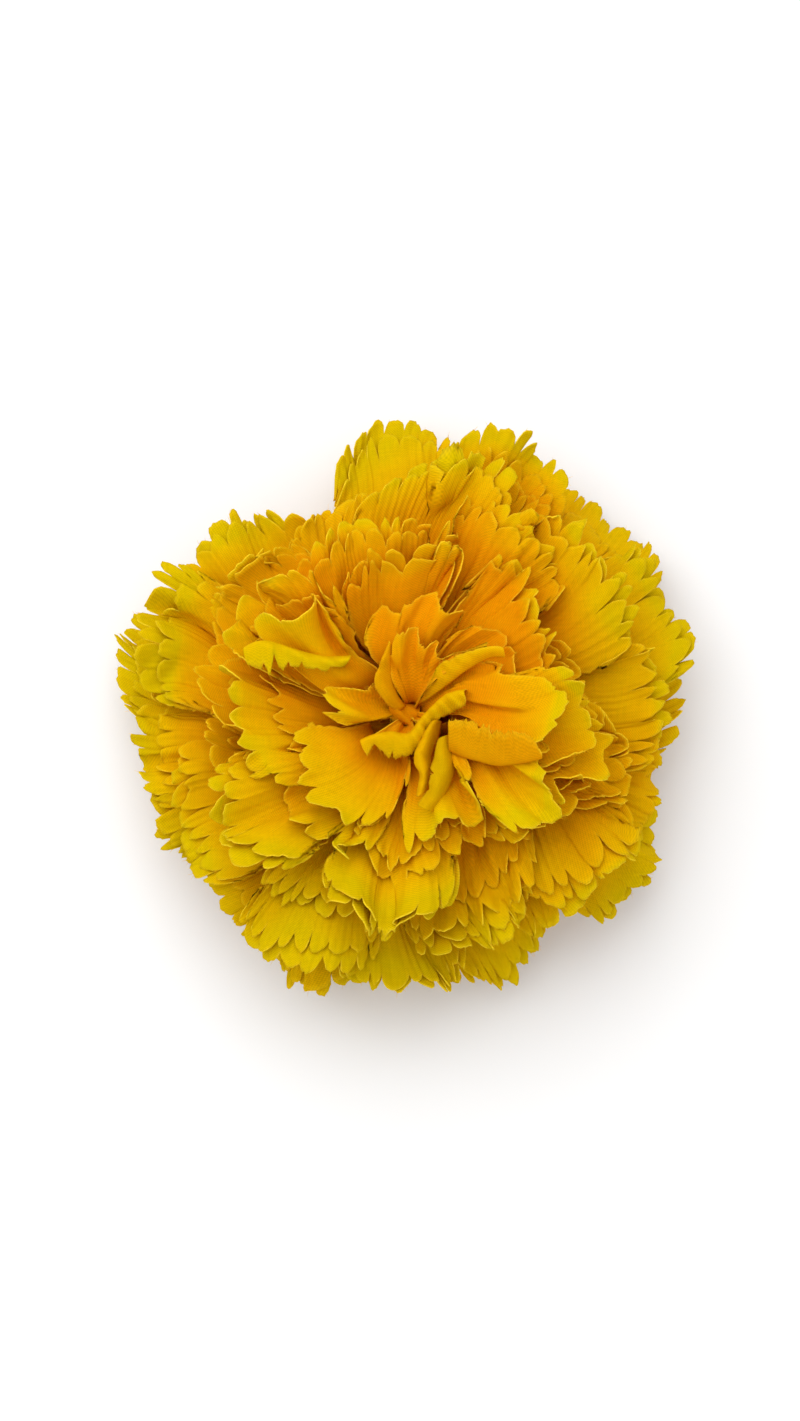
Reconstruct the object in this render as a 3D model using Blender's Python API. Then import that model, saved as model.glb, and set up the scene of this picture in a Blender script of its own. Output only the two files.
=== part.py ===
"""A made carnation head: cut yellow cloth petals on a moulded green calyx.

Eight die-cut cloth discs are threaded on the post of the calyx and held down by a small cap.
Each disc is a ring round the post with five to eight lobes, the petals, which bend up and out
and end in a row of cut teeth. The discs nest like bowls: the first lies nearly flat and droops,
the last closes over the post and opens again as a funnel.

Lengths are in millimetres and angles in degrees until a mesh is made, which is in metres.
The origin is the middle of the calyx's flat foot, +Z is up, and +Y is the far side of the photo.
"""

from dataclasses import dataclass

import bmesh
import bpy
import numpy as np

MM = 0.001

# The calyx: a solid cup with a flat foot, five sepals and the post for the discs
CUP_PROFILE = ((6.0, 0.0), (6.7, 0.8), (7.6, 5.0), (7.7, 9.0), (8.3, 12.0), (8.9, 13.3), (8.5, 14.0))
CUP_TOP = 14.2
CUP_SIDES = 32
SEPALS = 5
SEPAL_LENGTH = 6.2
SEPAL_HALF_WIDTH = 3.6
SEPAL_THICKNESS = 0.9
SEPAL_ROOT = (6.9, 12.2)
SEPAL_TIP_Z = 13.5
SEPAL_TIP_HALF_WIDTH = 0.35
SEPAL_TAPER = 1.7
SHOULDER_RADIUS = 7.4
POST_RADIUS = 1.3
POST_TOP = 23.75
CAP_RADIUS = 2.1
CAP_HEIGHT = 1.8
CAP_SIDES = 20
CAP_TURNS = (10.0, 35.0, 60.0)
SHARP_ANGLE = 35.0
SEAT_GAP = 0.3

# The stack of discs on the post
DISCS = 8
FIRST_DISC_Z = 15.0
STACK_HEIGHT = 8.0
TOP_RISE = 6.0
RING_HOLE_RADIUS = 1.6
RING_RADIUS = 3.2
RING_THICKNESS = 0.8
RING_SIDES = 24
CLOTH_THICKNESS = 0.6

# The slits between the lobes of a disc: their share of the sector, and how far out they reach.
# A lobe has its full width, and its teeth are counted, at these shares of its length.
SLIT = 0.05
SLIT_END = 7.5
FULL_WIDTH_AT = 0.85
TOOTH_COUNT_AT = 0.9

# How far apart the middles of two sheets are kept: at the post, further out, and how much more
# inside the head
ROOT_GAP = 0.97
LAYER_GAP = 1.7
INNER_GAP = 0.4

# The family of curves that the petals follow, from the outer layer, 0, to the inner one, 1.
# A curve leaves the post level, turns to its waist angle and opens to its tip angle, both
# measured from upright. Layers past 1 are the ones that lie on the innermost disc's own lobes.
CURVE_START_RADIUS = 1.9
LAYER_KEYS = (0.0, 0.2, 0.4, 0.6, 0.8, 1.0)
WAIST_ANGLES = (90.0, 78.0, 62.0, 40.0, 10.0, -48.0)
TIP_ANGLES = (117.0, 101.0, 88.0, 79.0, 73.0, 70.0)
BEND_START = 1.3
BEND_STEP = 9.0
BEND_LENGTH = 3.4
OPEN_LENGTH = 45.0
OPEN_LENGTH_DROP = 26.0
LONGEST = 52.0
LENGTH_GRID = np.linspace(0.0, LONGEST, 209)
LAYER_GRID = np.linspace(-0.15, 1.45, 129)
LEAST_RADIUS = 0.7
TIP_OVER_LAYER = 90.0
WAIST_UNDER_LAYER = 40.0
TIP_UNDER_LAYER = 60.0

# How a lobe rests on the ones below: it keeps to its disc's curve for this length past the bend,
# has its own shape and its full gap at these lengths past it, and clears all that lies within
# this many cells of the pile
HELD_FOR = 5.0
FREE_AFTER = 16.0
GAP_AFTER = 10.0
TIP_SETTLE = 2.4
LIFT_POWER = 1.3
WAVE_POWER = 1.6
CUP_MIDDLE = 0.3
TURN_STEPS = 720
REST_REACH = 5
SMOOTH_ROUNDS = 12
WINDOW_SHARE = 1.15
WINDOW_MARGIN = 0.1
WIDEST_ACROSS = 1.3
COVER_ACROSS = 1.08
COVER_ALONG = 1.02
BARE = -1.0

# The slow waves that handling gives the whole head, for x, y and z: height, then radians per
# millimetre along x, y and z, and phase
CRUMPLE_WAVES = (
    ((1.5, 0.0, 0.12, 0.09, 0.4), (0.9, 0.0, 0.24, -0.17, 2.0)),
    ((1.5, 0.11, 0.0, -0.08, 2.1), (0.9, 0.25, 0.0, 0.16, 0.7)),
    ((1.2, 0.12, 0.11, 0.0, 1.2), (0.6, 0.27, -0.22, 0.0, 3.0)),
)
CRUMPLE_MIDDLE_Z = 19.0
CRUMPLE_START = 7.0
CRUMPLE_FULL = 20.0

# The seeded differences between lobes: the most that each is off its disc's plan
HEAD_SEED = 11
AZIMUTH_SPREAD = 2.0
WIDTH_SPREAD = 0.08
LENGTH_SPREAD = 0.12
TWIST_SPREAD = 1.6
CUP_RANGE = (-1.4, 2.6)
SWEEP_SPREAD = 6.0
WAVE_PLAN = (((0.6, 1.0), 0.8), ((1.3, 2.2), 0.6))

# The cut edge
TOOTH_PITCH = 2.6
INNER_PITCH = 3.5
LEAST_TEETH = 4
TOOTH_TIP = 0.52
EDGE_ROUNDING = 0.14
EDGE_BOW = 0.03

# The rows of triangles from root to teeth: places in the bend, then shares of the length with
# the number of parts across. ROW_FOLLOW is how late the rows take on the outline of the edge.
ROOT_START = 0.4
ROOT_ROW = 0.6
EASY_BEND_ROWS = (0.6,)
TIGHT_BEND_ROWS = (0.3, 1.0)
TIGHT_FROM = 0.6
BODY_ROWS = ((0.36, 4), (0.55, 5))
LAST_BODY_ROW = 0.78
ROW_STEP = 1.3
ROW_FOLLOW = 1.5


@dataclass(frozen=True)
class Disc:
    """One die-cut disc: where its lobes point, and how long, wide and lively they are."""

    azimuths: tuple
    half_angle: float
    length: float
    wave: float
    unrest: float
    tooth_depth: float


@dataclass(frozen=True)
class Lobe:
    """One petal of a disc, as bent in the finished head."""

    disc: int
    azimuth: float
    half_angle: float
    root: tuple
    length: float
    lift: float
    twist: float
    cup: float
    sweep: float
    waves: tuple
    tooth_depth: float
    teeth: int
    span: tuple = (-1.0, 1.0)
    cut_at: float = 0.0
    edge_plan: tuple = ()


DISC_PLANS = (
    Disc((94, 46, 8, -29, -68, -112, -154, 166), 16.5, 43.0, 1.4, 1.5, 3.0),
    Disc((132, 74, 29, -9, -50, -90, -132, -173), 17.0, 41.5, 1.6, 2.2, 3.0),
    Disc((104, 58, 10, -33, -73, -112, -158, 158), 18.0, 38.5, 1.8, 2.6, 3.0),
    Disc((84, 36, -14, -64, -118, -168, 136), 20.5, 36.0, 2.0, 3.0, 2.8),
    Disc((112, 62, 8, -42, -94, -146, 164), 23.0, 33.0, 2.1, 3.0, 2.6),
    Disc((92, 32, -26, -86, -130, -172, 140), 26.0, 30.0, 2.3, 2.8, 2.4),
    Disc((78, 28, -8, -34, -72, -132, 146), 26.0, 26.0, 2.0, 2.0, 2.0),
    Disc((-125, -10, 178, 95, -52), 30.0, 20.0, 1.0, 0.5, 1.2),
)

# The lengths of the lobes of the three outer discs, which give the photo's outline
OUTLINE_LENGTHS = (
    (48.0, 50.5, 40.0, 41.1, 39.9, 40.2, 39.5, 47.5),
    (41.8, 46.3, 46.4, 38.0, 37.4, 41.1, 37.1, 42.2),
    (36.5, 38.3, 38.0, 37.1, 37.0, 40.4, 38.9, 42.8),
)

# Lobes that the photo shows to differ from the rest of their disc, by disc and place in it.
# A span leaves out the side, and a cut the end, that the real petal rolls over itself.
OWN_SHAPES = {
    (0, 0): {"half_angle": 15.5, "lift": 3.0, "sweep": 0.0},
    (1, 0): {"lift": 1.0},
    (1, 1): {"lift": 2.0},
    (6, 0): {"half_angle": 30.0, "length": 24.5, "tooth_depth": 0.8},
    (6, 1): {"half_angle": 22.0, "length": 25.0, "tooth_depth": 0.8},
    (6, 2): {"half_angle": 22.0, "length": 33.0, "lift": -1.5},
    (6, 3): {"half_angle": 20.0, "length": 33.0, "lift": -1.0},
    (6, 4): {"half_angle": 24.0, "length": 26.5, "lift": -1.0},
    (6, 5): {
        "half_angle": 40.0,
        "length": 27.0,
        "lift": -1.5,
        "tooth_depth": 3.0,
        "edge_plan": (
            (-1.0, 0.85), (-0.87, 0.9), (-0.62, 0.96), (-0.3, 0.98), (-0.07, 1.0),
            (0.3, 0.9), (0.67, 0.78), (0.85, 0.7), (1.0, 0.66),
        ),
    },
    (6, 6): {"half_angle": 22.0, "length": 31.0, "lift": 1.0, "cup": 0.5, "span": (-1.0, 0.52)},
    (7, 0): {"half_angle": 34.0, "length": 22.5, "tooth_depth": 1.2, "cut_at": 17.8},
    (7, 1): {
        "half_angle": 34.0,
        "length": 34.0,
        "lift": -1.0,
        "sweep": 0.0,
        "tooth_depth": 1.6,
        "edge_plan": (
            (-1.0, 0.7), (-0.7, 0.8), (-0.4, 0.86), (-0.25, 0.97), (0.0, 1.0), (0.4, 0.97), (1.0, 0.75),
        ),
        "span": (-0.46, 1.0),
    },
    (7, 2): {"half_angle": 22.0, "length": 24.0, "lift": -1.5, "tooth_depth": 0.4},
    (7, 3): {
        "half_angle": 60.0,
        "length": 25.0,
        "lift": 0.0,
        "tooth_depth": 0.5,
        "edge_plan": (
            (-1.0, 1.0), (-0.87, 0.93), (-0.62, 0.74), (-0.47, 0.8), (-0.3, 0.82), (-0.13, 0.93),
            (0.12, 0.92), (0.2, 0.82), (0.42, 0.74), (0.7, 0.68), (1.0, 0.66),
        ),
    },
    (7, 4): {"half_angle": 42.0, "length": 18.0, "lift": 4.0, "cup": 0.0, "tooth_depth": 1.0},
}


def smooth_step(value, start, end):
    """0 before start, 1 after end, and a smooth rise between them."""
    share = np.clip((value - start) / (end - start), 0.0, 1.0)
    return share * share * (3.0 - 2.0 * share)


def running_total(slope):
    """The integral of a slope along LENGTH_GRID, down each column."""
    step = LENGTH_GRID[1] - LENGTH_GRID[0]
    middle = 0.5 * (slope[1:] + slope[:-1]) * step
    return np.vstack([np.zeros((1, slope.shape[1])), np.cumsum(middle, axis=0)])


def bend_start(layer):
    """The length at which the cloth of a layer starts to turn up from the stack."""
    return BEND_START + BEND_STEP * (1.0 - layer)


def layer_curves():
    """Radius, height and layer spacing at each length, in rows, and each layer, in columns."""
    length = LENGTH_GRID[:, None]
    layer = LAYER_GRID[None, :]
    inside = np.clip(layer, 0.0, 1.0)
    above = np.clip(layer - 1.0, 0.0, None)
    below = np.minimum(layer, 0.0)
    waist = np.interp(inside, LAYER_KEYS, WAIST_ANGLES) - WAIST_UNDER_LAYER * below
    tip = np.interp(inside, LAYER_KEYS, TIP_ANGLES) - TIP_UNDER_LAYER * below
    tip = tip - TIP_OVER_LAYER * above
    bend = bend_start(np.minimum(layer, 1.0))
    bent = bend + BEND_LENGTH
    opened = OPEN_LENGTH - OPEN_LENGTH_DROP * inside
    angle = 90.0 + (waist - 90.0) * smooth_step(length, bend, bent)
    angle = np.radians(angle + (tip - waist) * smooth_step(length, bent, opened))
    radius = CURVE_START_RADIUS + running_total(np.sin(angle))
    height = FIRST_DISC_Z + STACK_HEIGHT * layer + TOP_RISE * above
    height = height + running_total(np.cos(angle))
    outward = np.gradient(radius, LAYER_GRID, axis=1)
    upward = np.gradient(height, LAYER_GRID, axis=1)
    spacing = upward * np.sin(angle) - outward * np.cos(angle)
    return radius, height, np.maximum(spacing, STACK_HEIGHT)


RADIUS, HEIGHT, SPACING = layer_curves()


def read_table(table, row, column):
    """The table's value between its rows and columns, by bilinear weights."""
    row = np.clip(row, 0.0, table.shape[0] - 1.001)
    column = np.clip(column, 0.0, table.shape[1] - 1.001)
    i = row.astype(int)
    j = column.astype(int)
    down = row - i
    across = column - j
    first = table[i, j] * (1.0 - across) + table[i, j + 1] * across
    second = table[i + 1, j] * (1.0 - across) + table[i + 1, j + 1] * across
    return first * (1.0 - down) + second * down


def on_curve(table, length, layer):
    """A value of layer_curves() at these lengths and layers."""
    row = length / LONGEST * (len(LENGTH_GRID) - 1)
    span = LAYER_GRID[-1] - LAYER_GRID[0]
    column = (layer - LAYER_GRID[0]) / span * (len(LAYER_GRID) - 1)
    return read_table(table, row, column)


def crumpled(points):
    """The points after the slow sideways waves that handling gives the whole head.

    It is one smooth map of space, gentle enough that no two sheets can cross by it.
    """
    x, y, z = points[..., 0], points[..., 1], points[..., 2]
    hub = np.sqrt(x * x + y * y + (z - CRUMPLE_MIDDLE_Z) ** 2)
    much = smooth_step(hub, CRUMPLE_START, CRUMPLE_FULL)
    shifts = [
        sum(
            height * np.sin(along_x * x + along_y * y + along_z * z + phase)
            for height, along_x, along_y, along_z, phase in waves
        )
        for waves in CRUMPLE_WAVES
    ]
    return points + much[..., None] * np.stack(shifts, axis=-1)


def place(turn, length, layer):
    """Points at these angles round the post, in radians, lengths along the cloth and layers."""
    radius = np.maximum(on_curve(RADIUS, length, layer), LEAST_RADIUS)
    height = on_curve(HEIGHT, length, layer)
    return crumpled(np.stack([radius * np.cos(turn), radius * np.sin(turn), height], axis=-1))


def disc_layer(disc):
    """The layer, from 0 to 1, that a disc of this number has at the post."""
    return disc / (DISCS - 1)


def root_edges(azimuths, number):
    """The slits on both sides of a lobe's root, halfway to its neighbours, as angles."""
    azimuth = azimuths[number]
    turns = [(other - azimuth) % 360.0 for other in azimuths if other != azimuth]
    right = azimuth - 0.5 * (360.0 - max(turns)) * (1.0 - SLIT)
    left = azimuth + 0.5 * min(turns) * (1.0 - SLIT)
    return np.radians(right), np.radians(left)


def draw_lobe(draw, disc, number):
    """One lobe with its seeded differences, and its own shape where it has one."""
    plan = DISC_PLANS[disc]
    shape = {
        "azimuth": plan.azimuths[number] + draw.uniform(-AZIMUTH_SPREAD, AZIMUTH_SPREAD),
        "half_angle": plan.half_angle * draw.uniform(1.0 - WIDTH_SPREAD, 1.0 + WIDTH_SPREAD),
        "length": plan.length * draw.uniform(1.0 - LENGTH_SPREAD, 1.0 + LENGTH_SPREAD),
        "lift": plan.unrest * draw.uniform(-1.0, 1.0),
        "twist": draw.uniform(-TWIST_SPREAD, TWIST_SPREAD),
        "cup": draw.uniform(*CUP_RANGE),
        "sweep": draw.uniform(-SWEEP_SPREAD, SWEEP_SPREAD),
        "waves": tuple(
            (draw.uniform(*counts), draw.uniform(0.0, 2.0 * np.pi), plan.wave * share)
            for counts, share in WAVE_PLAN
        ),
        "tooth_depth": plan.tooth_depth,
    }
    if disc < len(OUTLINE_LENGTHS):
        shape["length"] = OUTLINE_LENGTHS[disc][number]
    shape.update(OWN_SHAPES.get((disc, number), {}))
    for angle in ("azimuth", "half_angle", "sweep"):
        shape[angle] = np.radians(shape[angle])
    tip = np.array(TOOTH_COUNT_AT * shape["length"])
    width = 2.0 * shape["half_angle"] * float(on_curve(RADIUS, tip, np.array(disc_layer(disc))))
    pitch = TOOTH_PITCH + (INNER_PITCH - TOOTH_PITCH) * disc_layer(disc)
    teeth = max(LEAST_TEETH, round(width / pitch))
    root = root_edges(plan.azimuths, number)
    return Lobe(disc=disc, root=root, teeth=teeth, **shape)


def draw_lobes():
    """Every lobe, from the outermost disc in."""
    draw = np.random.default_rng(HEAD_SEED)
    return [
        draw_lobe(draw, disc, number)
        for disc, plan in enumerate(DISC_PLANS)
        for number in range(len(plan.azimuths))
    ]


def lobe_turn(lobe, across, length):
    """The angle round the post at a place across the lobe, from -1 to 1, and along it."""
    share = length / lobe.length
    right, left = lobe.root
    free = smooth_step(length, SLIT_END, FULL_WIDTH_AT * lobe.length)
    middle = 0.5 * (left + right)
    middle = middle + (lobe.azimuth - middle) * free + lobe.sweep * share * share
    half = 0.5 * (left - right)
    half = half + (lobe.half_angle - half) * free
    return middle + half * across


def lobe_across(lobe, turn, length):
    """The place across the lobe at an angle round the post: lobe_turn() the other way."""
    middle = lobe_turn(lobe, 0.0, length)
    half = lobe_turn(lobe, 1.0, length) - middle
    return (turn - middle) / half


def wanted_layer(lobe, across, length):
    """The layer that a lobe would take with nothing under it: its disc's, lifted and waved."""
    share = np.clip(length / lobe.length, 0.0, 1.1)
    rise = lobe.lift * share**LIFT_POWER + lobe.twist * across * share
    rise = rise + lobe.cup * (across * across - CUP_MIDDLE) * share * share
    for count, phase, height in lobe.waves:
        rise = rise + height * share**WAVE_POWER * np.sin(np.pi * count * across + phase)
    layer = disc_layer(lobe.disc)
    rise = rise - TIP_SETTLE * layer * share
    bend = bend_start(layer)
    rise = rise * smooth_step(length, bend + HELD_FOR, bend + FREE_AFTER)
    return layer + rise / on_curve(SPACING, length, layer + 0.0 * across)


def highest_near(table, reach):
    """The greatest value within this many cells along both sides of a table."""
    for axis in (0, 1):
        edges = [(reach, reach) if side == axis else (0, 0) for side in (0, 1)]
        wide = np.pad(table, edges, mode="edge")
        count = table.shape[axis]
        shifts = [np.take(wide, np.arange(first, first + count), axis) for first in range(2 * reach + 1)]
        table = np.max(shifts, axis=0)
    return table


class Pile:
    """The cloth laid so far, as the top layer at each angle and length, which each lobe clears."""

    def __init__(self):
        self.top = np.full((TURN_STEPS, len(LENGTH_GRID)), BARE)

    def lay(self, lobe):
        """Rest a lobe on the pile: its layer over a window of angles, which it then covers."""
        step = 2.0 * np.pi / TURN_STEPS
        reach = lobe.half_angle * WINDOW_SHARE + abs(lobe.sweep)
        first = int(np.floor((min(lobe.azimuth - reach, lobe.root[0]) - WINDOW_MARGIN) / step))
        last = int(np.ceil((max(lobe.azimuth + reach, lobe.root[1]) + WINDOW_MARGIN) / step))
        columns = np.arange(first, last + 1)
        turn = columns[:, None] * step
        length = LENGTH_GRID[None, :] + 0.0 * turn
        across = lobe_across(lobe, turn, length)
        layer = wanted_layer(lobe, np.clip(across, -WIDEST_ACROSS, WIDEST_ACROSS), length)
        under = self.top[columns % TURN_STEPS]
        level = disc_layer(lobe.disc)
        widest = LAYER_GAP + INNER_GAP * level
        bend = bend_start(level)
        bent = bend + BEND_LENGTH
        gap = ROOT_GAP + (widest - ROOT_GAP) * smooth_step(length, bent, bent + GAP_AFTER)
        base = under + gap / on_curve(SPACING, length, np.clip(under, 0.0, 1.0))
        base = highest_near(base, REST_REACH)
        covered = base > 0.7 * BARE
        layer = np.where(covered, np.maximum(layer, base), layer)
        for _ in range(SMOOTH_ROUNDS):
            wide = np.pad(layer, 1, mode="edge")
            sides = wide[:-2, 1:-1] + wide[2:, 1:-1] + wide[1:-1, :-2] + wide[1:-1, 2:]
            layer = (2.0 * wide[1:-1, 1:-1] + sides) / 6.0
            layer = np.where(covered, np.maximum(layer, base), layer)
        layer = level + (layer - level) * smooth_step(length, bend - 1.0, bend + 3.0)
        end = edge_length(lobe, np.clip(across, -1.0, 1.0)) if lobe.edge_plan else lobe.length
        mine = (np.abs(across) <= COVER_ACROSS) & (length <= end * COVER_ALONG)
        self.top[columns % TURN_STEPS] = np.where(mine, np.maximum(under, layer), under)
        return first * step, layer


def laid_layer(laid, turn, length):
    """A laid lobe's layer at these angles and lengths."""
    start, layer = laid
    row = (turn - start) / (2.0 * np.pi / TURN_STEPS)
    column = length / LONGEST * (len(LENGTH_GRID) - 1)
    return read_table(layer, row, column)


def lobe_points(lobe, laid, across, length):
    """Points on the middle of the lobe's cloth."""
    turn = lobe_turn(lobe, across, length)
    return place(turn, length, laid_layer(laid, turn, length))


def lobe_normals(lobe, laid, across, length):
    """Directions square to the lobe's cloth, on its upper, inner face."""
    side = 0.02
    along = 0.25
    right = lobe_points(lobe, laid, across + side, length)
    left = lobe_points(lobe, laid, across - side, length)
    outer = lobe_points(lobe, laid, across, length + along)
    inner = lobe_points(lobe, laid, across, np.maximum(length - along, 0.0))
    normal = np.cross(outer - inner, right - left)
    return normal / np.linalg.norm(normal, axis=-1, keepdims=True)


def edge_length(lobe, across):
    """How long the lobe is at a place across it, to the tips of its teeth."""
    if lobe.edge_plan:
        places, shares = zip(*lobe.edge_plan)
        return lobe.length * np.interp(across, places, shares)
    rounding = EDGE_BOW * across**2 + EDGE_ROUNDING * np.abs(across) ** 5
    return lobe.length * (1.0 - rounding)


def cut_length(lobe, across):
    """The edge's length, or the length at which the lobe is cut where its end rolls over."""
    length = edge_length(lobe, across)
    return np.minimum(length, lobe.cut_at) if lobe.cut_at else length


def spanned(lobe, parts):
    """Evenly spaced places across the lobe, without a side that rolls over."""
    return np.linspace(*lobe.span, parts + 1)


def built_teeth(lobe):
    """How many teeth the lobe has on the part of its edge that does not roll over."""
    return max(LEAST_TEETH, round(lobe.teeth * (lobe.span[1] - lobe.span[0]) / 2.0))


def lobe_rows(lobe):
    """The lobe's rows of points from root to notches, as places across it and lengths."""
    full = lobe.cut_at or lobe.length
    body = full - lobe.tooth_depth
    teeth = built_teeth(lobe)
    layer = disc_layer(lobe.disc)
    bend = bend_start(layer)
    bend_rows = TIGHT_BEND_ROWS if layer > TIGHT_FROM else EASY_BEND_ROWS
    plan = (
        (ROOT_START, 1),
        (bend - ROOT_ROW * (bend - BEND_START), 3),
        *((bend + share * BEND_LENGTH, 3) for share in bend_rows),
        *((share * body, parts) for share, parts in BODY_ROWS),
        (LAST_BODY_ROW * body, max(5, teeth - 2)),
        (body, teeth),
    )
    rows = []
    last = 0.0
    for length, parts in plan:
        length = max(length, last + ROW_STEP) if rows else length
        across = spanned(lobe, parts)
        share = min(1.0, length / body) ** ROW_FOLLOW
        rows.append((across, length - share * (full - cut_length(lobe, across))))
        last = length
    return rows


def strip_faces(first, second):
    """Triangles between two rows of point numbers, stepping along the row that lags."""
    faces = []
    i = j = 0
    while i < len(first) - 1 or j < len(second) - 1:
        step_first = (i + 1) / (len(first) - 1) if i < len(first) - 1 else 2.0
        step_second = (j + 1) / (len(second) - 1) if j < len(second) - 1 else 2.0
        if step_first < step_second:
            faces.append((first[i], second[j], first[i + 1]))
            i += 1
        else:
            faces.append((first[i], second[j], second[j + 1]))
            j += 1
    return faces


def lobe_sheet(lobe):
    """The flat pattern of a lobe: places across it, lengths and triangles, teeth and all."""
    across = []
    length = []
    faces = []
    previous = None
    for row_across, row_length in lobe_rows(lobe):
        numbers = list(range(len(across), len(across) + len(row_across)))
        across.extend(row_across)
        length.extend(row_length)
        if previous:
            faces.extend(strip_faces(previous, numbers))
        previous = numbers
    for tooth in range(built_teeth(lobe)):
        left, right = previous[tooth], previous[tooth + 1]
        middle = 0.5 * (across[left] + across[right])
        half = 0.5 * TOOTH_TIP * (across[right] - across[left])
        for place_across in (middle - half, middle + half):
            across.append(place_across)
            length.append(float(cut_length(lobe, place_across)))
        tip = len(across) - 2
        faces.extend([(left, tip, tip + 1), (left, tip + 1, right)])
    return np.array(across), np.array(length), faces


def rim_edges(faces):
    """The directed edges that only one triangle has."""
    edges = {(a, b) for face in faces for a, b in zip(face, face[1:] + face[:1])}
    return sorted((a, b) for a, b in edges if (b, a) not in edges)


def thick_sheet(points, normals, faces):
    """The closed solid of a sheet, with the same triangles on both of its faces."""
    half = 0.5 * CLOTH_THICKNESS
    upper = points + half * normals
    lower = points - half * normals
    count = len(points)
    solid = [tuple(reversed(face)) for face in faces]
    solid += [tuple(corner + count for corner in face) for face in faces]
    for a, b in rim_edges(faces):
        solid += [(a, b, b + count), (a, b + count, a + count)]
    return np.vstack([upper, lower]), solid


def make_object(name, points, faces, material):
    """A mesh object in metres from points in millimetres, with its faces pointing out."""
    mesh = bpy.data.meshes.new(name)
    mesh.from_pydata((np.asarray(points) * MM).tolist(), [], faces)
    shape = bmesh.new()
    shape.from_mesh(mesh)
    bmesh.ops.recalc_face_normals(shape, faces=shape.faces)
    shape.to_mesh(mesh)
    shape.free()
    mesh.materials.append(material)
    obj = bpy.data.objects.new(name, mesh)
    bpy.context.scene.collection.objects.link(obj)
    return obj


def make_material(name, color, roughness):
    """A Principled material with no metal in it."""
    material = bpy.data.materials.new(name)
    material.use_nodes = True
    shader = material.node_tree.nodes["Principled BSDF"]
    shader.inputs["Base Color"].default_value = (*color, 1.0)
    shader.inputs["Roughness"].default_value = roughness
    shader.inputs["Metallic"].default_value = 0.0
    return material


def turned(name, profile, sides, material):
    """A solid of revolution from a profile of radius and height that starts and ends on the axis."""
    shape = bmesh.new()
    corners = [shape.verts.new((radius * MM, 0.0, height * MM)) for radius, height in profile]
    edges = [shape.edges.new(pair) for pair in zip(corners[:-1], corners[1:])]
    bmesh.ops.spin(
        shape,
        geom=corners + edges,
        cent=(0.0, 0.0, 0.0),
        axis=(0.0, 0.0, 1.0),
        angle=2.0 * np.pi,
        steps=sides,
        use_merge=True,
    )
    bmesh.ops.remove_doubles(shape, verts=shape.verts, dist=0.01 * MM)
    bmesh.ops.recalc_face_normals(shape, faces=shape.faces)
    mesh = bpy.data.meshes.new(name)
    shape.to_mesh(mesh)
    shape.free()
    mesh.shade_smooth()
    mesh.set_sharp_from_angle(angle=np.radians(SHARP_ANGLE))
    mesh.materials.append(material)
    obj = bpy.data.objects.new(name, mesh)
    bpy.context.scene.collection.objects.link(obj)
    return obj


def ring(name, height, material):
    """The flat ring of a disc, with the hole for the post."""
    low = height - 0.5 * RING_THICKNESS
    high = height + 0.5 * RING_THICKNESS
    turns = np.linspace(0.0, 2.0 * np.pi, RING_SIDES, endpoint=False)
    circle = np.stack([np.cos(turns), np.sin(turns)], axis=-1)
    corners = ((RING_HOLE_RADIUS, low), (RING_RADIUS, low), (RING_RADIUS, high), (RING_HOLE_RADIUS, high))
    points = [(*(radius * spot), level) for radius, level in corners for spot in circle]
    faces = []
    for band in range(len(corners)):
        start = band * RING_SIDES
        other = (band + 1) % len(corners) * RING_SIDES
        for side in range(RING_SIDES):
            after = (side + 1) % RING_SIDES
            faces.append((start + side, start + after, other + after, other + side))
    return make_object(name, points, faces, material)


def keep_largest(mesh):
    """Drop the loose scraps that a union can leave: all but the body with the most faces."""
    shape = bmesh.new()
    shape.from_mesh(mesh)
    unseen = set(shape.faces)
    bodies = []
    while unseen:
        body = {unseen.pop()}
        front = list(body)
        while front:
            edges = [edge for edge in front.pop().edges if len(edge.link_faces) == 2]
            near = {face for edge in edges for face in edge.link_faces} - body
            body |= near
            front.extend(near)
        unseen -= body
        bodies.append(body)
    bodies.sort(key=len)
    scraps = [face for body in bodies[:-1] for face in body]
    bmesh.ops.delete(shape, geom=scraps, context="FACES")
    shape.to_mesh(mesh)
    shape.free()


def fuse(target, pieces, solver):
    """Join the pieces to the target with one applied Boolean union, and remove them."""
    group = bpy.data.collections.new(f"{target.name} pieces")
    bpy.context.scene.collection.children.link(group)
    for piece in pieces:
        bpy.context.scene.collection.objects.unlink(piece)
        group.objects.link(piece)
    union = target.modifiers.new("union", "BOOLEAN")
    union.operation = "UNION"
    union.operand_type = "COLLECTION"
    union.collection = group
    union.solver = solver
    graph = bpy.context.evaluated_depsgraph_get()
    joined = bpy.data.meshes.new_from_object(target.evaluated_get(graph))
    keep_largest(joined)
    target.modifiers.clear()
    target.data = joined
    for piece in pieces:
        bpy.data.objects.remove(piece)
    bpy.data.collections.remove(group)


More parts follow.
